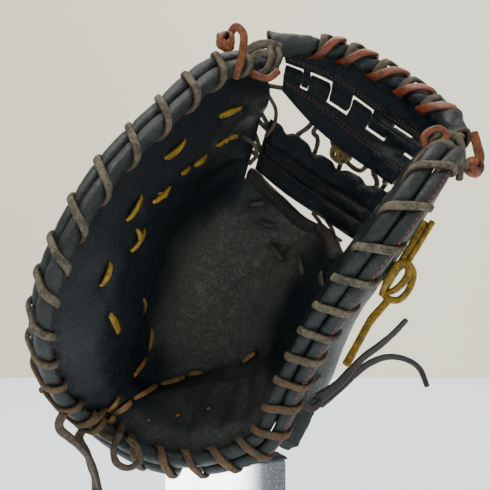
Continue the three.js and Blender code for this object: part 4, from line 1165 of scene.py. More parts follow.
class MITT_OT_backs(bpy.types.Operator):
    """The leather of the back, over the fingers and over the thumb"""
    bl_idname = "mitt.backs"
    bl_label = "Back leather"

    def execute(self, context):
        for lobe, (first, last) in BACK_SHELLS.items():
            columns = int((last - first) * 10) + 1
            shares = np.concatenate([np.linspace(BACK_INNER, 1, 34), np.linspace(1.05, 1.25, 6)])
            place, share = np.meshgrid(np.linspace(first, last, columns), shares, indexing="ij")
            u, r = palm_place(place, share)
            normal = bowl_normal(u, r)
            room = back_room(u, r)
            inside = bowl(u, r) - normal * room[..., None]
            swell = 0.6 * waves(inside, 40) + 0.3 * waves(inside, 17)
            outside = inside - normal * (BACK_WALL + swell)[..., None]
            points, faces = wall_mesh(inside, outside)
            piece = make_object(f"{lobe}_back_leather", points, faces)
            drop_loose(piece)
            soften(piece, 1.3)
            finish_piece(piece, material("back"), "navy_leather", f"{lobe}_back_shell")
            places = np.linspace(first + 0.1, last - 0.1, 160)
            edge_u, edge_r = palm_place(places, np.full_like(places, BACK_INNER + 0.03))
            line = on_back(edge_u, edge_r, 0.3)
            sewn = stitches(f"{lobe}_back_stitching", line, -bowl_normal(edge_u, edge_r), **BACK_THREAD)
            finish_piece(sewn, material("thread"), "navy_leather")
        return {"FINISHED"}


BINDINGS = {
    "palm_binding": (0, 15.5, 1),
    "finger_back_binding": (0, 8.5, -1),
    "thumb_back_binding": (9, 15.5, -1),
}
BINDING_SQUARENESS = 0.76


class MITT_OT_bindings(bpy.types.Operator):
    """The rolled leather bindings beside the rim's seam, pressed in by the lace"""
    bl_idname = "mitt.bindings"
    bl_label = "Bindings"

    def execute(self, context):
        laces = np.concatenate([rim_lace_path(FINGER_HOLES)[0], rim_lace_path(THUMB_HOLES)[0]])
        sides = 28
        for name, (first, last, face) in BINDINGS.items():
            places = np.linspace(first, last, int((last - first) * 26))
            _, _, facing, outward = rim_frame(places)
            centres = near_rim(places, np.zeros_like(places), np.full_like(places, face * ROLL_FACE))
            radius = BINDING_RADIUS * (1 + 0.03 * waves(centres, 26))
            radii = np.repeat(radius[:, None], sides, axis=1)
            rings, ways = tube_rings(centres, outward, facing, radii, sides, BINDING_SQUARENESS)
            rings = dent(rings, ways, laces, 1.1, 3.0)
            rings = rings + ways * (0.14 * waves(rings, 7) + 0.2 * waves(rings, 21))[..., None]
            rings = rounded_ends(rings, BINDING_RADIUS * 0.8)
            piece = make_object(f"{name}_roll", *rings_to_mesh(rings))
            finish_piece(piece, material("slate"), "worn_binding", name)
        self.sew(0.8, 7.0, -0.86, 0.5, 1, "finger_binding_stitching", "dark_thread")
        self.sew(9.6, 15.1, 0.78, -0.62, -1, "thumb_binding_stitching", "thread")
        return {"FINISHED"}

    def sew(self, first, last, out, face, roll, name, kind):
        """A line of stitches along one side of a roll; out and face give the side."""
        places = np.linspace(first, last, int((last - first) * 60))
        _, _, facing, outward = rim_frame(places)
        up = unit(outward * out + facing * face)
        centre = near_rim(places, np.zeros_like(places), np.full_like(places, roll * ROLL_FACE))
        piece = stitches(name, centre + up * (BINDING_RADIUS + 0.05), up, **ROLL_THREAD)
        finish_piece(piece, material(kind), "worn_binding")


class MITT_OT_rim_laces(bpy.types.Operator):
    """The two laces that spiral round the rim"""
    bl_idname = "mitt.rim_laces"
    bl_label = "Rim laces"

    def execute(self, context):
        for name, places in (("finger_rim_lace", FINGER_HOLES), ("thumb_rim_lace", THUMB_HOLES)):
            path, ups = rim_lace_path(places)
            piece = ribbon(f"{name}_leather", path, ups, RIM_LACE_WIDTH, RIM_LACE_THICKNESS, None, 0.09, 0.72)
            finish_piece(piece, material("rim_lace"), "rim_lace", name)
        return {"FINISHED"}


WOVEN_FINISH = {
    "finger_lace_outer": ("yellow_lace", "yellow_lace"),
    "finger_lace_inner": ("yellow_lace", "yellow_lace"),
    "finger_crease_lace": ("crease_lace", "orange_lace"),
    "heel_crease_lace": ("crease_lace", "orange_lace"),
    "pocket_lace": ("pocket_lace", "rim_lace"),
}


WOVEN_WIDTH = {
    "finger_lace_outer": 0.85,
    "finger_lace_inner": 0.8,
    "finger_crease_lace": 0.75,
    "heel_crease_lace": 0.8,
    "pocket_lace": 0.8,
}


class MITT_OT_palm_laces(bpy.types.Operator):
    """The laces woven in and out of the palm leather"""
    bl_idname = "mitt.palm_laces"
    bl_label = "Palm laces"

    def execute(self, context):
        width, thickness = sizes().lace_width, sizes().lace_thickness
        for name, (kind, slot) in WOVEN_FINISH.items():
            crease = name.endswith("crease_lace")
            sunk = sizes().seam_depth * 0.75 if crease else 1.1
            pieces = []
            for start, end in WOVEN[name]:
                u, r = stitch_places(start, end, 25)
                share = np.linspace(0, 1, 25)
                crown = np.sin(share * math.pi) ** 0.3
                lift = -sunk - 2.6 + (2.6 + thickness * 0.35 + 0.25) * crown
                path = palm_front(u, r, lift)
                ups = bowl_normal(u, r)
                if name == "pocket_lace":
                    path, ups = self.straight(path, ups, share, lift)
                length = np.linalg.norm(path[-1] - path[0])
                size = min(1.0, 0.35 + length / 12)
                narrow = 0.6 + 0.4 * np.sin(share * math.pi) ** 0.7
                across = width * WOVEN_WIDTH[name] * size
                shape = ribbon(f"{name}_stitch", path, ups, across, thickness, None, 0.12, 0.62, narrow)
                pieces.append(shape)
            piece = join(f"{name}_leather", pieces)
            finish_piece(piece, material(kind), slot, name)
        return {"FINISHED"}

    def straight(self, path, ups, share, lift):
        """The same stitch as a straight line between its ends."""
        u_mean = unit(ups.mean(axis=0))
        start, end = path[0] - ups[0] * lift[0], path[-1] - ups[-1] * lift[-1]
        line = start + (end - start) * share[:, None]
        return line + u_mean * (lift + 0.5)[:, None], np.tile(u_mean, (len(share), 1))


# Hinge tabs of the web, as in the part's source
TABS = ((0.125, "lower"), (0.175, "upper"), (0.325, "lower"), (0.47, "upper"), (0.61, "lower"),
        (0.755, "upper"), (0.895, "lower"), (1.0, "upper"))
TAB_COLUMNS = 9
TAB_GAP = 0.004
BAND_ENDS = (0.01, 0.99)
UPPER_TAB_END = 2.05
LOWER_TAB_END = 1.11
LOWER_BODY_ROW = 2.14
LOWER_BODY_ROWS = 0.86
HINGE_ROW = 1.58
HINGE_PUFF = 2.4
HINGE_SPREAD = 0.4


def under_roll(s):
    """The row of the web where the upper band goes in under the top roll."""
    reach = np.linalg.norm(web_point(s, np.zeros_like(s)) - web_point(s, np.ones_like(s)), axis=-1)
    return (TOP_ROLL_RADIUS - 2.5) / reach


def hinged_band(name, band):
    """One of the two leather bands that interlock with tabs along the web's hinge."""
    columns, owner = [], []
    start = 0.0
    for until, which in TABS:
        inner = np.linspace(start + TAB_GAP / 2, until - TAB_GAP / 2, TAB_COLUMNS)
        if not columns:
            inner[0] = 0.0
        if until == 1.0:
            inner[-1] = 1.0
        columns += list(inner)
        owner += [which] * (TAB_COLUMNS - 1) + ["gap"]
        start = until
    s = BAND_ENDS[0] + (BAND_ENDS[1] - BAND_ENDS[0]) * np.array(columns)
    if band == "upper":
        body = np.linspace(0, 1, 16)
        tab = np.linspace(1, UPPER_TAB_END, 14)[1:]
    else:
        body = np.linspace(LOWER_BODY_ROW, 3, 16)
        tab = np.linspace(LOWER_TAB_END, LOWER_BODY_ROW, 14)[:-1]
    rows = np.concatenate([body, tab]) if band == "upper" else np.concatenate([tab, body])
    grid_s, grid_t = np.meshgrid(s, rows, indexing="ij")
    grid_t = np.maximum(grid_t, under_roll(grid_s))
    end = (UPPER_TAB_END, 1) if band == "upper" else (LOWER_TAB_END, LOWER_BODY_ROW)
    grid_s = round_tabs(grid_s, grid_t, band, end)
    there = np.ones((len(s) - 1, len(rows) - 1), bool)
    in_tab = (rows[:-1] >= 1) if band == "upper" else (rows[1:] <= LOWER_BODY_ROW)
    for column in range(len(s) - 1):
        if owner[column] != band:
            there[column, in_tab] = False
    body_share = np.clip((grid_t - under_roll(grid_s)) / (1 - under_roll(grid_s)), 0, 1)
    puff = np.where(grid_t <= 1, 0.9 * np.sin(body_share * math.pi) ** 0.6, 0.0)
    if band == "lower":
        share = np.clip((grid_t - LOWER_BODY_ROW) / LOWER_BODY_ROWS, 0, 1)
        puff = np.where(grid_t > LOWER_BODY_ROW, 1.1 * np.sin(share * math.pi) ** 0.6, 0.0)
    hinge = HINGE_PUFF * np.exp(-(((grid_t - HINGE_ROW) / HINGE_SPREAD) ** 2))
    half = BAND_WALL / 2
    middle = on_web(grid_s, grid_t, 0)
    crumple = smooth(0.6, 1, grid_s)
    bumps = (0.5 + 0.5 * crumple) * waves(middle, 15) + (0.3 + 0.3 * crumple) * waves(middle, 6)
    front = on_web(grid_s, grid_t, half + puff + hinge + bumps)
    back = on_web(grid_s, grid_t, -half + hinge * 0.6)
    points, faces = wall_mesh(front, back, there)
    piece = make_object(name, points, faces)
    drop_loose(piece)
    soften(piece, 1.6)
    return piece


def round_tabs(grid_s, grid_t, band, end):
    """Draws the tabs' outer corners in, so that their ends are rounded."""
    result = grid_s.copy()
    tip, root = end
    reach = np.clip((grid_t - root) / (tip - root), 0, 1)
    for index, (_, which) in enumerate(TABS):
        low, high = index * TAB_COLUMNS, (index + 1) * TAB_COLUMNS
        if which == band:
            middle = grid_s[low:high].mean(axis=0, keepdims=True)
            corner = np.clip((reach[low:high] - 0.72) / 0.28, 0, 1)
            keep = 1 - 0.2 * (1 - np.sqrt(1 - corner**2 * 0.98))
            result[low:high] = middle + (grid_s[low:high] - middle) * keep
    return result


# Rows of the web where the cross band is sewn through
CROSS_SEAMS = (4.45, 4.68)


def web_line(places):
    """A smooth line over the web through rows of (s, t)."""
    places = np.array(places, float)
    flat = smooth_path(np.column_stack([places, np.zeros(len(places))]), 24 * len(places))
    return flat[:, 0], flat[:, 1]


class MITT_OT_web(bpy.types.Operator):
    """The web: top roll, two hinged bands, padded cross band and base roll"""
    bl_idname = "mitt.web"
    bl_label = "Web"

    def execute(self, context):
        self.top_roll()
        for band in ("upper", "lower"):
            piece = hinged_band(f"web_{band}_leather", band)
            finish_piece(piece, material("navy"), "navy_leather", f"web_{band}_band")
        self.cross_band()
        self.base_roll()
        self.thread_lines()
        return {"FINISHED"}

    def top_roll(self):
        s = np.linspace(0, 1, 170)
        centres = web_point(s, np.zeros_like(s))
        ways = ways_along(centres)
        face = web_normal(s, np.zeros_like(s))
        side = unit(np.cross(face, ways))
        face = np.cross(ways, side)
        sides = 32
        turns = (s - FIRST_TURN) / TURN_PITCH
        laced = smooth(-0.4, 0.1, turns) * (1 - smooth(WEB_TURNS - 0.6, WEB_TURNS, turns))
        pillows = 1.03 + 0.13 * laced * np.sin((turns - 0.55) * 2 * math.pi)
        radius = np.repeat((TOP_ROLL_RADIUS * pillows)[:, None], sides, axis=1)
        rings, out = tube_rings(centres, side, face, radius, sides)
        laces = np.concatenate([web_lace_path(**LACES_OVER)[0], web_lace_path(**LACES_UNDER)[0]])
        rings = dent(rings, out, laces, 2.5, 3.7)
        rings = rings + out * (0.4 * waves(rings, 17) + 0.25 * waves(rings, 6))[..., None]
        rings = rounded_ends(rings, TOP_ROLL_RADIUS * 0.7)
        piece = make_object("web_top_roll_leather", *rings_to_mesh(rings))
        finish_piece(piece, material("slate"), "worn_binding", "web_top_roll")

    def cross_band(self):
        """A padded band of three long lobes, pulled up in scallops along its top edge only."""
        s = np.linspace(0.01, 0.99, 150)
        rows = np.linspace(0, 1, 50)
        grid_s, share = np.meshgrid(s, rows, indexing="ij")
        pulls = sum(np.exp(-(((grid_s - at) / 0.04) ** 2)) for at in (0.17, 0.42, 0.62, 0.84))
        top = 3.93 + 0.14 * pulls - 0.04 * np.sin(grid_s * 9)
        t = top + (CROSS_SEAMS[0] - top) * np.clip(share / 0.5, 0, 1)
        t += (CROSS_SEAMS[1] - CROSS_SEAMS[0]) * np.clip((share - 0.5) / 0.2, 0, 1)
        t += (5 - CROSS_SEAMS[1]) * np.clip((share - 0.7) / 0.3, 0, 1)
        ends = np.minimum(smooth(0.01, 0.07, grid_s), 1 - smooth(0.93, 0.99, grid_s))
        puff = np.zeros_like(share)
        for low, high, height in ((0.0, 0.5, 1.15), (0.5, 0.7, 0.8), (0.7, 1.0, 0.8)):
            inside = np.clip((share - low) / (high - low), 0, 1)
            arch = np.sqrt(np.clip(1 - (2 * inside - 1) ** 2, 0, 1))
            puff += height * arch * ((share >= low) & (share < high))
        puff = np.maximum(puff, 0.3) * (0.4 + 0.6 * ends)
        middle = on_web(grid_s, t, 0)
        uneven = 0.7 * waves(middle, 24) + 0.35 * waves(middle, 9)
        front = on_web(grid_s, t, puff * CROSS_BAND_WALL / 2 + uneven * puff)
        hollow = np.sqrt(np.clip(1 - (2 * share - 1) ** 2, 0, 1)) * (0.4 + 0.6 * ends)
        back = on_web(grid_s, t, -np.maximum(hollow, 0.12) * CROSS_BAND_WALL / 2)
        points, faces = wall_mesh(front, back)
        piece = make_object("web_cross_leather", points, faces)
        drop_loose(piece)
        soften(piece, 0.9)
        finish_piece(piece, material("navy"), "navy_leather", "web_cross_band")

    def base_roll(self):
        place = np.linspace(TIP_PLACE + 0.1, PLACES - 0.15, 120)
        u, r = palm_place(place, np.full_like(place, EDGE_SHARE))
        inner_u, inner_r = palm_place(place, np.full_like(place, EDGE_SHARE * 0.55))
        ahead = palm_front(u, r)
        behind = on_palm(u, r, np.full_like(u, CLEARANCE / 2))
        out = unit(ahead - palm_front(inner_u, inner_r))
        centres = (ahead + behind) / 2 + out * (BASE_ROLL_RADIUS - 1)
        ways = ways_along(centres)
        face = bowl_normal(u, r)
        side = unit(np.cross(face, ways))
        rings, spokes = tube_rings(centres, side, np.cross(ways, side), BASE_ROLL_RADIUS + 1, 20, 0.8)
        rings = rings + spokes * (0.2 * waves(rings, 12))[..., None]
        rings = rounded_ends(rings, 2)
        piece = make_object("web_base_roll_leather", *rings_to_mesh(rings))
        finish_piece(piece, material("strip"), "worn_binding", "web_base_roll")
        sewn_up = face * 0.6 + TOWARD_VIEWER * 0.4
        line = centres + unit(sewn_up) * (BASE_ROLL_RADIUS + 1.2)
        sewn = stitches("web_base_stitching", line[6:-6], sewn_up[6:-6], **WEB_BASE_THREAD)
        finish_piece(sewn, material("dull_thread"), "worn_binding")

    def thread_lines(self):
        """Red thread over the bands: each row is a line of (s, t) and its height over the web."""
        band_height = BAND_WALL / 2 + 0.9
        lines = {
            "upper_band_thread": (((0.04, 0.62), (0.2, 0.75), (0.6, 0.79), (0.96, 0.78)), band_height),
            "upper_band_thread_low": (((0.04, 0.7), (0.2, 0.83), (0.6, 0.87), (0.96, 0.86)), band_height),
            "lower_band_thread": (((0.03, 2.25), (0.3, 2.33), (0.6, 2.38), (0.97, 2.4)), band_height + 0.2),
            "lower_band_thread_low": (((0.03, 2.33), (0.3, 2.41), (0.6, 2.46), (0.97, 2.48)),
                                     band_height + 0.2),
            "cross_thread_1": (((0.04, 4.43), (0.3, 4.43), (0.6, 4.43), (0.96, 4.43)), 1.9),
            "cross_thread_2": (((0.04, 4.475), (0.3, 4.475), (0.6, 4.475), (0.96, 4.475)), 1.9),
            "cross_thread_3": (((0.04, 4.66), (0.3, 4.66), (0.6, 4.66), (0.96, 4.66)), 1.7),
            "cross_thread_4": (((0.04, 4.7), (0.3, 4.7), (0.6, 4.7), (0.96, 4.7)), 1.7),
        }
        for name, (places, height) in lines.items():
            s, t = web_line(places)
            line = on_web(s, t, np.full_like(s, height))
            piece = stitches(name, line, web_normal(s, t), **WEB_THREAD)
            finish_piece(piece, material("dull_thread"), "navy_leather")


LACES_OVER = {"offset": 0.0, "lift": 0.6, "front_share": 1.0}
LACES_UNDER = {"offset": 0.045, "lift": 0.1, "front_share": 0.15}
WEB_TURNS = 5
FIRST_TURN = 0.17
TURN_PITCH = 0.165


def web_lace_path(offset, lift, front_share):
    """The lace over the web's top roll, and the way each point's flat side looks."""
    radius = TOP_ROLL_RADIUS + bpy.context.scene.mitt_sizes.lace_thickness / 2 - 0.2
    shares, angles, sides, lifts = [], [], [], []
    arc = np.radians(np.arange(0, 181, 12))
    for turn in range(WEB_TURNS):
        hole = FIRST_TURN + offset + turn * TURN_PITCH
        onward = hole + TURN_PITCH
        top = hole + (onward - hole) * front_share
        for angle in arc:
            shares.append(hole + (top - hole) * angle / math.pi)
            angles.append(angle)
            sides.append(1)
            lifts.append(lift * math.sin(angle) ** 0.7 if angle < math.pi - 1e-6 else 0.0)
        if turn == WEB_TURNS - 1:
            break
        for angle in arc[::-1][1:]:
            shares.append(onward + (top - onward) * angle / math.pi)
            angles.append(angle)
            sides.append(-1)
            lifts.append(lift * 0.6 * math.sin(angle))
    s, angle, side, extra = (np.array(values) for values in (shares, angles, sides, lifts))
    middle = web_point(s, np.zeros_like(s))
    down = unit(web_point(s, np.ones_like(s)) - middle)
    face = web_normal(s, np.zeros_like(s))
    way = down * np.cos(angle)[:, None] + face * (side * np.sin(angle))[:, None]
    return middle + way * (radius + extra)[:, None], way


TIE_THICKNESS = 2.2


def behind_web(s, t):
    wall = BAND_WALL if t < 3.5 else CROSS_BAND_WALL
    return on_web(np.array([s]), np.array([t]), np.array([-wall / 2 - 2 * CLEARANCE - TIE_THICKNESS / 2]))[0]


def behind_lobe(place, share):
    u, r = palm_place(np.array([place]), np.array([share]))
    return on_palm(u, r, np.array([-CLEARANCE - TIE_THICKNESS / 2]))[0]


def wound_knot(centre, radius, axis, turns, strand, height=0.75):
    """A path that winds round a ball in crossing turns."""
    axis = unit(axis)
    helper = np.array([0.0, 0.0, 1.0]) if abs(axis[2]) < 0.9 else np.array([1.0, 0.0, 0.0])
    first = unit(np.cross(axis, helper))
    second = np.cross(axis, first)
    share = np.linspace(0, 1, int(turns * 22))
    angle = share * turns * 2 * math.pi
    tilt = height * np.sin(angle * 1.37 + 0.6)
    spin = angle + 0.4 * np.sin(angle * 0.5)
    level = first[None] * np.cos(spin)[:, None] + second[None] * np.sin(spin)[:, None]
    way = level * np.cos(tilt)[:, None] + axis[None] * np.sin(tilt)[:, None]
    reach = radius - strand / 2 + 0.5 * np.sin(angle * 0.73)
    return np.asarray(centre) + way * reach[:, None], way


class MITT_OT_web_laces(bpy.types.Operator):
    """The laces over the web's top roll and the ties behind the web"""
    bl_idname = "mitt.web_laces"
    bl_label = "Web laces"

    def execute(self, context):
        for name, settings, kind, slot in (("web_top_lace_under", LACES_UNDER, "under_lace", "rim_lace"),
                                           ("web_top_lace", LACES_OVER, "orange_lace", "orange_lace")):
            path, ups = web_lace_path(**settings)
            piece = ribbon(f"{name}_leather", path, ups, sizes().lace_width + 0.6, 3.0, None, 0.1, 0.66)
            finish_piece(piece, material(kind), slot, name)
        self.side_tie("web_side_tie_finger", 0.15, 0.05)
        self.side_tie("web_side_tie_thumb", TIP_PLACE - 0.15, 0.95)
        self.back_tie()
        self.sleeves()
        for name, (kind, slot, width, points) in LOOSE_STRANDS.items():
            path = smooth_path(points, 16 * len(points))
            strand = ribbon(name, path, TOWARD_VIEWER, width, max(2.8, width * 0.7), None, 0.1, 0.8)
            finish_piece(strand, material(kind), slot)
        return {"FINISHED"}

    def side_tie(self, name, place, s):
        points = [behind_web(s, 2.7), behind_lobe(place, 0.9), behind_web(s, 4.2), behind_lobe(place, 0.7),
                  behind_web(s, 4.75), behind_lobe(place, 0.5)]
        path = smooth_path(points, 110)
        piece = ribbon(f"{name}_leather", path, TOWARD_VIEWER, sizes().tie_width * 0.8, 2.6, None, 0.12, 0.85)
        finish_piece(piece, material("under_lace"), "brown_lace", name)

    def back_tie(self):
        """Cords that loop between the lower band and the cross band, and the knot that gathers them."""
        runs = (
            ((0.24, 4.3), (0.265, 3.95), (0.3, 3.5), (0.3, 2.8)),
            ((0.33, 2.8), (0.35, 3.2), (0.39, 3.6), (0.43, 4.2)),
            ((0.47, 2.8), (0.5, 3.3), (0.57, 3.6), (0.66, 3.8), (0.73, 3.86), (0.77, 3.4), (0.79, 2.8)),
            ((0.81, 2.8), (0.83, 3.6), (0.88, 4.1)),
            ((0.9, 4.15), (0.915, 3.8), (0.935, 3.3), (0.94, 2.8)),
            ((0.5, 2.8), (0.53, 3.2), (0.57, 3.55), (0.62, 4.2)),
        )
        cords = []
        for run in runs:
            path = smooth_path([behind_web(s, t) for s, t in run], 20 * len(run))
            sway = 1.2 * np.sin(np.linspace(0, 3 * math.pi, len(path)))
            path = path + sway[:, None] * np.array([1, 0, 0.4])
            cords.append(ribbon("web_back_tie_cord", path, TOWARD_VIEWER, 3.4, 2.8, None, 0.12, 0.85))
        line = join("web_back_tie_line", cords)
        finish_piece(line, material("tail_lace"), "brown_lace", "web_back_tie")
        knot, ways = wound_knot(behind_web(0.58, 3.6), 8.6, (0.3, -1, 0.4), 4.6, 3.2, 0.95)
        ball = ribbon("web_back_tie_knot", knot, ways, 3.6, 3.0, None, 0.1, 0.85)
        finish_piece(ball, material("olive_lace"), "yellow_lace")

    def sleeves(self):
        """The flared leather ends of the top roll, which cover the ends of the rim's rolls."""
        s = np.linspace(0, 0.17, 26)
        line = web_point(s, np.zeros_like(s))
        start = line[0] + (line[0] - line[4]) / np.linalg.norm(line[4] - line[0]) * 5
        finger = np.concatenate([np.linspace(start, line[0], 9)[:-1], line])
        flare = np.interp(np.linspace(0, 1, len(finger)), (0, 0.3, 1), (8.6, 7.4, 6.1))
        self.sleeve("finger_sleeve", finger, flare, 3)
        s = np.linspace(0.9, 1.0, 14)
        line = web_point(s, np.zeros_like(s))
        thumb = smooth_path(np.concatenate([line[::6], THUMB_SLEEVE_END]), 40)[::-1]
        flare = np.interp(np.linspace(0, 1, len(thumb)), (0, 0.5, 1), (7.6, 7.2, 6.0))
        self.sleeve("thumb_sleeve", thumb, flare, -4)

    def sleeve(self, name, line, radius, slant):
        """A thin open tube of leather whose mouth, at the line's start, slants by this many millimetres."""
        ways = ways_along(line)
        side = unit(np.cross(TOWARD_VIEWER, ways))
        face = np.cross(ways, side)
        angles = np.arange(36) / 36 * 2 * math.pi
        spokes = side[:, None] * np.cos(angles)[None, :, None] + face[:, None] * np.sin(angles)[None, :, None]
        lean = slant * (1 - np.linspace(0, 1, len(line)))[:, None] ** 2 * -spokes[..., 2]
        outer = line[:, None] + spokes * radius[:, None, None] + ways[:, None] * lean[..., None]
        outer = outer + spokes * (0.7 * waves(outer, 13) + 0.35 * waves(outer, 6))[..., None]
        inner = outer - spokes * 2.0
        points, faces = wall_mesh(outer.transpose(1, 0, 2), inner.transpose(1, 0, 2), None, True)
        piece = make_object(name, points, faces)
        drop_loose(piece)
        finish_piece(piece, material("slate"), "worn_binding")
        lip = (outer[0] + inner[0]) / 2
        lip = np.concatenate([lip, lip[:2]])
        ups = np.concatenate([spokes[0], spokes[0][:2]])
        raw = ribbon(f"{name}_raw_edge", lip, ups, 2.2, 2.6, None, 0.2, 0.8)
        finish_piece(raw, material("tail_lace"), "brown_lace")


THUMB_SLEEVE_END = np.array([(123.5, -3, 68.5), (125, -8, 61)])

# Short strands of lace in sight round the ends of the web: finish, slot, width and route
LOOSE_STRANDS = {
    "finger_sleeve_lace": ("rim_lace", "rim_lace", 6.2, ((-2, 22, 116), (0.6, 21, 119.8), (6.9, 22, 124.6),
                                                         (14.4, 24, 126.5), (21.9, 28, 125))),
    "finger_cord_long": ("under_lace", "rim_lace", 3.6, (
        (20.3, 24, 123), (21.8, 20, 116.6), (18.1, 19, 110.3),
                                                         (10.6, 19, 104.7))),
    "finger_cord_short": ("under_lace", "rim_lace", 3.8, ((15.4, 22, 124), (16.1, 18, 116.1), (13, 17, 108.6),
                                                          (6.8, 18, 104.9))),
    "finger_wrap_lace": ("rim_lace", "rim_lace", 5.4, (
        (-1, 22, 111), (5, 20, 117), (12, 20, 119.5), (18, 22, 116),
                                                       (19, 27, 110))),
    "finger_orange_end": ("orange_lace", "orange_lace", 4.6, (
        (20.4, 18, 108), (14.2, 16, 103), (6.2, 16, 105),
                                                              (2.6, 18, 108))),
    "thumb_orange_loop": ("knot_lace", "orange_lace", 4.0, ((100.1, -34, 52.5), (98.5, -34, 58.9),
                                                              (101.8, -34, 62.7), (107.3, -34, 63.8),
                                                              (110.6, -34, 60.5), (107.8, -35, 56.1),
                                                              (102.4, -35, 54))),
    "thumb_arch_lace": ("rim_lace", "rim_lace", 4.6, ((90.5, -38, 40.8), (99.1, -38, 51), (106.7, -37, 55.3),
                                                      (113.9, -34, 53.6), (119.2, -30, 46),
                                                      (120.3, -26, 37))),
    "web_low_loop_1": ("tail_lace", "brown_lace", 2.8, (
        (46.9, 70, 22), (53, 70, 13), (52, 70, 4), (46, 68, 2))),
    "web_low_loop_2": ("tail_lace", "brown_lace", 2.8, ((55.9, 70, 18), (61, 68, 8.5), (61.5, 66, -2))),
    "web_low_loop_3": ("tail_lace", "brown_lace", 2.6, ((47.1, 70, 7.2), (56.9, 69, 8.5), (65.8, 66, 3))),
    "finger_edge_lace_1": ("tail_lace", "brown_lace", 2.8, ((15.3, 54, 101), (20.5, 52, 90), (19.3, 52, 80),
                                                            (14, 54, 73))),
    "finger_edge_lace_2": ("tail_lace", "brown_lace", 2.8, ((-0.5, 46, 71), (5.6, 46, 66.5), (7.6, 48, 59.5),
                                                            (3, 50, 54))),
}


# Knots and loops, as routes in the mitt's frame
YELLOW_STRAND_ROUTE = ((109.1, -10, 13.3), (101, -12, 0.6), (94.1, -12, -10.4))
FINGER_KNOT_ROUTE = ((-9.5, 5, 126.5), (-5.5, 3, 131), (-1.2, 2, 126.9), (-1.2, 1, 117.2), (-3, 2, 108.7),
                     (-6, 6, 101))
THUMB_KNOT_ROUTE = ((112.8, -30, 62), (118.4, -30, 59), (121.2, -28, 53.4), (122.9, -24, 47.7),
                    (127, -20, 45))
THUMB_END_ROUTE = ((129, -18, 44.5), (134.3, -17, 49), (133.4, -16, 56.9), (131.2, -16, 64.6))
HEEL_LOOP_ROUTE = ((-75, 3, -113), (-78, -2, -121), (-76, -3, -129), (-69.4, -2, -132.3), (-63, 1, -129),
                   (-64.5, 3, -121.7), (-70, 5, -117.1))
YELLOW_LOOP_ROUTE = ((94.1, -11, -9.4), (97.4, -12, -16.2), (94.5, -13, -26.1), (88.7, -12, -31.9),
                     (82.9, -10, -30.7), (83, -9, -23.8), (87.2, -10, -15.1), (93, -13, -10.4),
                     (88.7, -15, -10.9),
                     (82.4, -14, -19.6), (80, -9, -29))
YELLOW_SECOND_ROUTE = ((83, -8, -20), (87, -13, -12), (92.5, -16, -10.5), (94, -16, -16), (89.5, -16, -23),
                       (84.5, -13, -27), (81, -8, -27), (83.5, 0, -30.5), (87.2, 8, -32.9))
WRIST_LOOP_ROUTE = ((45, 9, -78.6), (40.3, 4, -81.8), (35.5, 3, -88.4), (34.9, 3, -94.5), (40.3, 3, -98.1),
                    (45.5, 5, -95))
HEEL_BUNCH_ROUTES = (
    ((-103, 14, -104), (-96.5, 3, -107.4), (-90, 2, -105.5), (-87, 9, -102), (-87, 20, -100)),
    ((-89, 14, -108), (-85, 3, -114), (-79, 2, -116), (-76, 9, -113), (-77, 20, -110)),
    ((-122.2, 2, -87.2), (-119, 1, -85.6), (-113, 2, -86.5)),
)


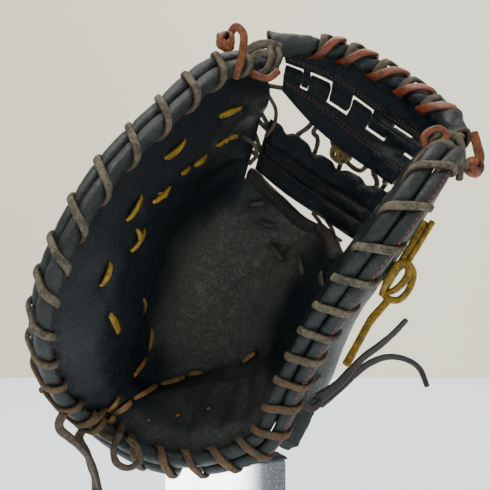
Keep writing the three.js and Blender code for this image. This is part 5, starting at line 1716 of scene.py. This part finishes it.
class MITT_OT_knots(bpy.types.Operator):
    """The knots and loops where the laces end"""
    bl_idname = "mitt.knots"
    bl_label = "Knots"

    def execute(self, context):
        width, thickness = sizes().lace_width, sizes().lace_thickness
        strap = lace_along("finger_knot_strap", FINGER_KNOT_ROUTE, 60, width, thickness)
        ball_path, ways = wound_knot((-11.8, 4, 122.6), 6.4, (0.2, -1, 0.2), 3.2, 3.2, 0.9)
        ball = ribbon("finger_knot_ball", ball_path, ways, width * 0.8, 3.2, None, 0.1, 0.8)
        finish_piece(strap, material("knot_lace"), "orange_lace", "finger_knot")
        finish_piece(ball, material("knot_lace"), "orange_lace")
        strand = lace_along("thumb_knot_strand", THUMB_KNOT_ROUTE, 50, width * 0.85, 3.2, 0.1, 0.8)
        end = lace_along("thumb_knot_end", THUMB_END_ROUTE, 40, width + 0.4, thickness)
        ball_path, ways = wound_knot((130.8, -17, 44.5), 5.8, (0.6, -1, 0.1), 3, thickness + 0.6)
        ball = ribbon("thumb_knot_ball", ball_path, ways, width, thickness + 0.6, None, 0.1, 0.7)
        knot = join("thumb_knot_leather", [end, ball])
        finish_piece(knot, material("knot_lace"), "orange_lace", "thumb_knot")
        finish_piece(strand, material("rim_lace"), "rim_lace")
        self.yellow_knot(width, thickness)
        self.wrist_knot(width, thickness)
        loop = lace_along("heel_loop_leather", HEEL_LOOP_ROUTE, 90, 4.2, 3.4, 0.12, 0.85)
        finish_piece(loop, material("tail_lace"), "rim_lace", "heel_loop_lace")
        for index, route in enumerate(HEEL_BUNCH_ROUTES):
            piece = lace_along(f"heel_bunch_{index}", route, 40, 4.2, 3.2, 0.12, 0.85)
            finish_piece(piece, material("rim_lace"), "rim_lace")
        return {"FINISHED"}

    def yellow_knot(self, width, thickness):
        """The strand behind the thumb and its open knot of two crossing loops."""
        strand = lace_along("yellow_strand", YELLOW_STRAND_ROUTE, 40, 3.4, 2.6, 0.1, 0.8)
        loop = lace_along("yellow_loop", YELLOW_LOOP_ROUTE, 130, width * 0.85, 3.0, 0.1, 0.75)
        second = lace_along("yellow_second_loop", YELLOW_SECOND_ROUTE, 70, width * 0.8, 2.8, 0.1, 0.75)
        places = np.array([14.4, 13.9, 13.35]), np.array([0.78, 0.75, 0.72])
        held = on_back(*places, np.array([1.3, 2.6, 3.9]))
        tuck = ribbon("yellow_tuck", smooth_path([*held, (86, -4, -22)], 40), TOWARD_VIEWER, width, thickness)
        knot = join("yellow_knot_leather", [strand, loop, second, tuck])
        finish_piece(knot, material("yellow_lace"), "yellow_lace", "thumb_back_knot")

    def wrist_knot(self, width, thickness):
        path = smooth_path(WRIST_LOOP_ROUTE, 70)
        knot = ribbon("wrist_knot_leather", path, TOWARD_VIEWER, width * 0.9, thickness)
        finish_piece(knot, material("brown_lace"), "brown_lace", "wrist_lace_knot")


TAIL_LOOKS = {
    "wrist_tail_up": ("brown_lace", "brown_lace", 0.5, "loose", (1.25, 0.75)),
    "wrist_tail_down": ("brown_lace", "brown_lace", 0.6, "loose", (1.1, 0.65)),
    "yellow_tail": ("yellow_lace", "yellow_lace", 0.3, "hanging", (0.95, 0.95)),
    "heel_tail_left": ("tail_lace", "brown_lace", 1.3, "hanging", (1.0, 1.25)),
    "heel_tail_right": ("tail_lace", "brown_lace", 1.0, "hanging", (1.0, 1.25)),
}


class MITT_OT_tails(bpy.types.Operator):
    """The free ends of the laces"""
    bl_idname = "mitt.tails"
    bl_label = "Lace ends"

    def execute(self, context):
        width, thickness = 5.2, sizes().lace_thickness
        for name, (kind, slot, turn, lay, (first, last)) in TAIL_LOOKS.items():
            path = smooth_path(TAILS[name], 70)
            share = np.linspace(0, 1, len(path))
            twist = turn * smooth(0, 1, share)
            taper = first + (last - first) * share
            piece = ribbon(f"{name}_leather", path, TOWARD_VIEWER, width, thickness, twist, 0.07, 0.62, taper)
            finish_piece(piece, material(kind), slot, name)
        return {"FINISHED"}


STRAP = {"first": 5.4, "last": 12.4, "inner": 0.34, "outer": 0.6}


# The strap's loose end, which hangs behind the thumb side of the heel
STRAP_END_ROUTE = ((39.4, 24, -94.4), (33.8, 25, -108.3), (28, 26, -120), (24.5, 27, -127.4))


def strap_point(share, row, depth):
    u = STRAP["first"] + (STRAP["last"] - STRAP["first"]) * share
    r = (STRAP["inner"] + (STRAP["outer"] - STRAP["inner"]) * row) * last_row(u)
    lift = STRAP_LIFT * smooth(0.15, 0.5, share) * smooth(0.15, 0.5, 1 - share)
    return on_palm(u, r, -back_room(u, r) - BACK_WALL - 3 * CLEARANCE - lift - depth)


class MITT_OT_strap(bpy.types.Operator):
    """The leather strap over the wrist"""
    bl_idname = "mitt.strap"
    bl_label = "Wrist strap"

    def execute(self, context):
        share, row = np.meshgrid(np.linspace(0, 1, 90), np.linspace(0, 1, 20), indexing="ij")
        ridge = 0.8 * np.exp(-(((row - 0.06) / 0.06) ** 2)) + 0.8 * np.exp(-(((row - 0.94) / 0.06) ** 2))
        front = strap_point(share, row, np.zeros_like(share))
        back = strap_point(share, row, STRAP_WALL + ridge)
        points, faces = wall_mesh(front, back)
        piece = make_object("wrist_strap_leather", points, faces)
        drop_loose(piece)
        soften(piece, 1.2)
        finish_piece(piece, material("back"), "navy_leather", "wrist_strap")
        path = smooth_path(STRAP_END_ROUTE, 40)
        rounding = 1 - 0.45 * smooth(0.8, 1, np.linspace(0, 1, len(path)))
        flap = ribbon("strap_end_leather", path, TOWARD_VIEWER, 16, 4.6, None, 0.05, 0.55, rounding)
        finish_piece(flap, material("back"), "navy_leather")
        for name, at in (("strap_thread_low", 0.14), ("strap_thread_high", 0.86)):
            shares = np.linspace(0.02, 0.98, 200)
            rows = np.full_like(shares, at)
            line = strap_point(shares, rows, np.full_like(shares, STRAP_WALL + 0.2))
            inside = strap_point(shares, rows, np.zeros_like(shares))
            sewn = stitches(name, line, unit(line - inside), **STRAP_THREAD)
            finish_piece(sewn, material("thread"), "navy_leather")
        return {"FINISHED"}


class MITT_OT_stand(bpy.types.Operator):
    """The clear display block and the dark pad on it"""
    bl_idname = "mitt.stand"
    bl_label = "Stand"

    block_side = 62
    block_turn = math.radians(27)
    pad_side = 65

    def slab(self, name, side, low, high, chamfer, rough):
        """A square slab with chamfered edges, turned as the block stands."""
        levels = [(low, side / 2 - chamfer), (low + chamfer, side / 2), (high - chamfer, side / 2),
                  (high, side / 2 - chamfer)]
        rings = []
        per_side = 24
        for height, half in levels:
            corner = np.array([(-half, -half), (half, -half), (half, half), (-half, half)])
            ring = []
            for k in range(4):
                steps = np.linspace(0, 1, per_side, endpoint=False)[:, None]
                ring.append(corner[k] + (corner[(k + 1) % 4] - corner[k]) * steps)
            flat = np.concatenate(ring)
            turn = np.array([[math.cos(self.block_turn), -math.sin(self.block_turn)],
                             [math.sin(self.block_turn), math.cos(self.block_turn)]])
            flat = flat @ turn.T + np.array([BLOCK_ACROSS, BLOCK_BEHIND])
            place = np.column_stack([flat, np.full(len(flat), height)])
            if rough:
                fuzz = np.stack([waves(place, 5), waves(place + 9, 4), waves(place + 4, 6)], axis=-1)
                place = place + rough * fuzz
            rings.append(place)
        return make_object(name, *rings_to_mesh(np.array(rings)))

    def execute(self, context):
        low, high = block_low[2] - MITT_LIFT, block_high[2] - MITT_LIFT
        block = self.slab("display_block_acrylic", self.block_side, low, high, 0.7, 0)
        finish_piece(block, material("acrylic"), "acrylic", "display_block")
        block.data.polygons.foreach_set("use_smooth", [False] * len(block.data.polygons))
        pad_low, pad_high = (corner[2] * METRE - MITT_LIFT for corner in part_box("display_pad"))
        pad = self.slab("display_pad_felt", self.pad_side - 1, pad_low, pad_high - 0.3, 1.2, 0.35)
        finish_piece(pad, material("felt"), "felt", "display_pad")
        return {"FINISHED"}


# The photograph's view: the camera looks level along +Y
CAMERA_AWAY = 440
FOCAL_PIXELS = 738
IMAGE_PIXELS = 490
SENSOR = 36.0
HORIZON_PIXEL = 378

# The stage, in metres: half its width, where its floor begins, and the wall's height
STAGE_HALF = 4
FLOOR_FRONT = -3
WALL_HEIGHT = 3.2

# Lights, each with its place, size and power; all of them look at the same spot
LIGHTS = {
    "key": ((-0.6, -0.45, 1.5), 1.2, 24),
    "top": ((0.15, 0.3, 1.5), 1.1, 11),
    "fill": ((0.9, -1.0, 0.6), 1.0, 4),
}
LIGHT_TARGET = (0, 0, 0.2)
SKY_COLOUR = (0.93, 0.95, 1.0, 1)
SKY_STRENGTH = 0.38


class MITT_OT_stage(bpy.types.Operator):
    """Camera, floor, wall behind and soft lights"""
    bl_idname = "mitt.stage"
    bl_label = "Stage"

    def execute(self, context):
        place = (np.array([0, -CAMERA_AWAY, 0]) + MITT_ORIGIN) / METRE
        camera = bpy.data.objects.new("camera", bpy.data.cameras.new("camera"))
        camera.data.sensor_width = SENSOR
        camera.data.lens = SENSOR * FOCAL_PIXELS / IMAGE_PIXELS
        camera.data.clip_start = 0.01
        camera.location = place
        camera.rotation_euler = (math.radians(90), 0, 0)
        context.scene.collection.objects.link(camera)
        context.scene.camera = camera
        wall_away = FOCAL_PIXELS * place[2] / (HORIZON_PIXEL - IMAGE_PIXELS / 2)
        wall_y = place[1] + wall_away
        left, right = (-STAGE_HALF, wall_y, 0), (STAGE_HALF, wall_y, 0)
        top_right, top_left = (STAGE_HALF, wall_y, WALL_HEIGHT), (-STAGE_HALF, wall_y, WALL_HEIGHT)
        near_left, near_right = (-STAGE_HALF, FLOOR_FRONT, 0), (STAGE_HALF, FLOOR_FRONT, 0)
        self.plane("floor", [near_left, near_right, right, left], material("floor"))
        self.plane("wall", [left, right, top_right, top_left], material("wall"))
        for name, (spot, size, power) in LIGHTS.items():
            self.light(name, spot, LIGHT_TARGET, size, power)
        world = bpy.data.worlds.new("studio")
        world.use_nodes = True
        world.node_tree.nodes["Background"].inputs["Color"].default_value = SKY_COLOUR
        world.node_tree.nodes["Background"].inputs["Strength"].default_value = SKY_STRENGTH
        context.scene.world = world
        return {"FINISHED"}

    def plane(self, name, corners, paint):
        mesh = bpy.data.meshes.new(name)
        mesh.from_pydata(corners, [], [(0, 1, 2, 3)])
        piece = bpy.data.objects.new(name, mesh)
        piece.data.materials.append(paint)
        bpy.context.scene.collection.objects.link(piece)

    def light(self, name, place, target, size, power):
        data = bpy.data.lights.new(name, "AREA")
        data.shape = "DISK"
        data.size = size
        data.energy = power
        lamp = bpy.data.objects.new(name, data)
        lamp.location = place
        way = np.array(target) - np.array(place)
        flat = math.hypot(way[0], way[1])
        lamp.rotation_euler = (math.atan2(flat, -way[2]), 0, math.atan2(way[1], way[0]) - math.pi / 2)
        bpy.context.scene.collection.objects.link(lamp)


OPERATORS = (
    MITT_OT_stage, MITT_OT_tails, MITT_OT_palm, MITT_OT_backs, MITT_OT_bindings, MITT_OT_rim_laces,
    MITT_OT_palm_laces, MITT_OT_web, MITT_OT_web_laces, MITT_OT_knots, MITT_OT_strap, MITT_OT_stand,
)


class MITT_PT_panel(bpy.types.Panel):
    """Lists the steps that build the mitt"""
    bl_idname = "MITT_PT_panel"
    bl_label = "Mitt"
    bl_space_type = "VIEW_3D"
    bl_region_type = "UI"
    bl_category = "Mitt"

    def draw(self, context):
        for group in (context.scene.mitt_sizes, context.scene.mitt_colours):
            for name in group.bl_rna.properties.keys():
                if name not in ("rna_type", "name"):
                    self.layout.prop(group, name)
        for operator in OPERATORS:
            self.layout.operator(operator.bl_idname)


CLASSES = (MittSizes, MittColours, *OPERATORS, MITT_PT_panel)


def register():
    for kind in CLASSES:
        bpy.utils.register_class(kind)
    bpy.types.Scene.mitt_sizes = PointerProperty(type=MittSizes)
    bpy.types.Scene.mitt_colours = PointerProperty(type=MittColours)


def unregister():
    del bpy.types.Scene.mitt_sizes
    del bpy.types.Scene.mitt_colours
    for kind in reversed(CLASSES):
        bpy.utils.unregister_class(kind)


def run_operators():
    """Calls each operator in order, by its own name."""
    for operator in OPERATORS:
        group, name = operator.bl_idname.split(".")
        getattr(getattr(bpy.ops, group), name)()


def main():
    register()
    run_operators()
    bpy.context.view_layer.update()


if __name__ == "__main__":
    main()
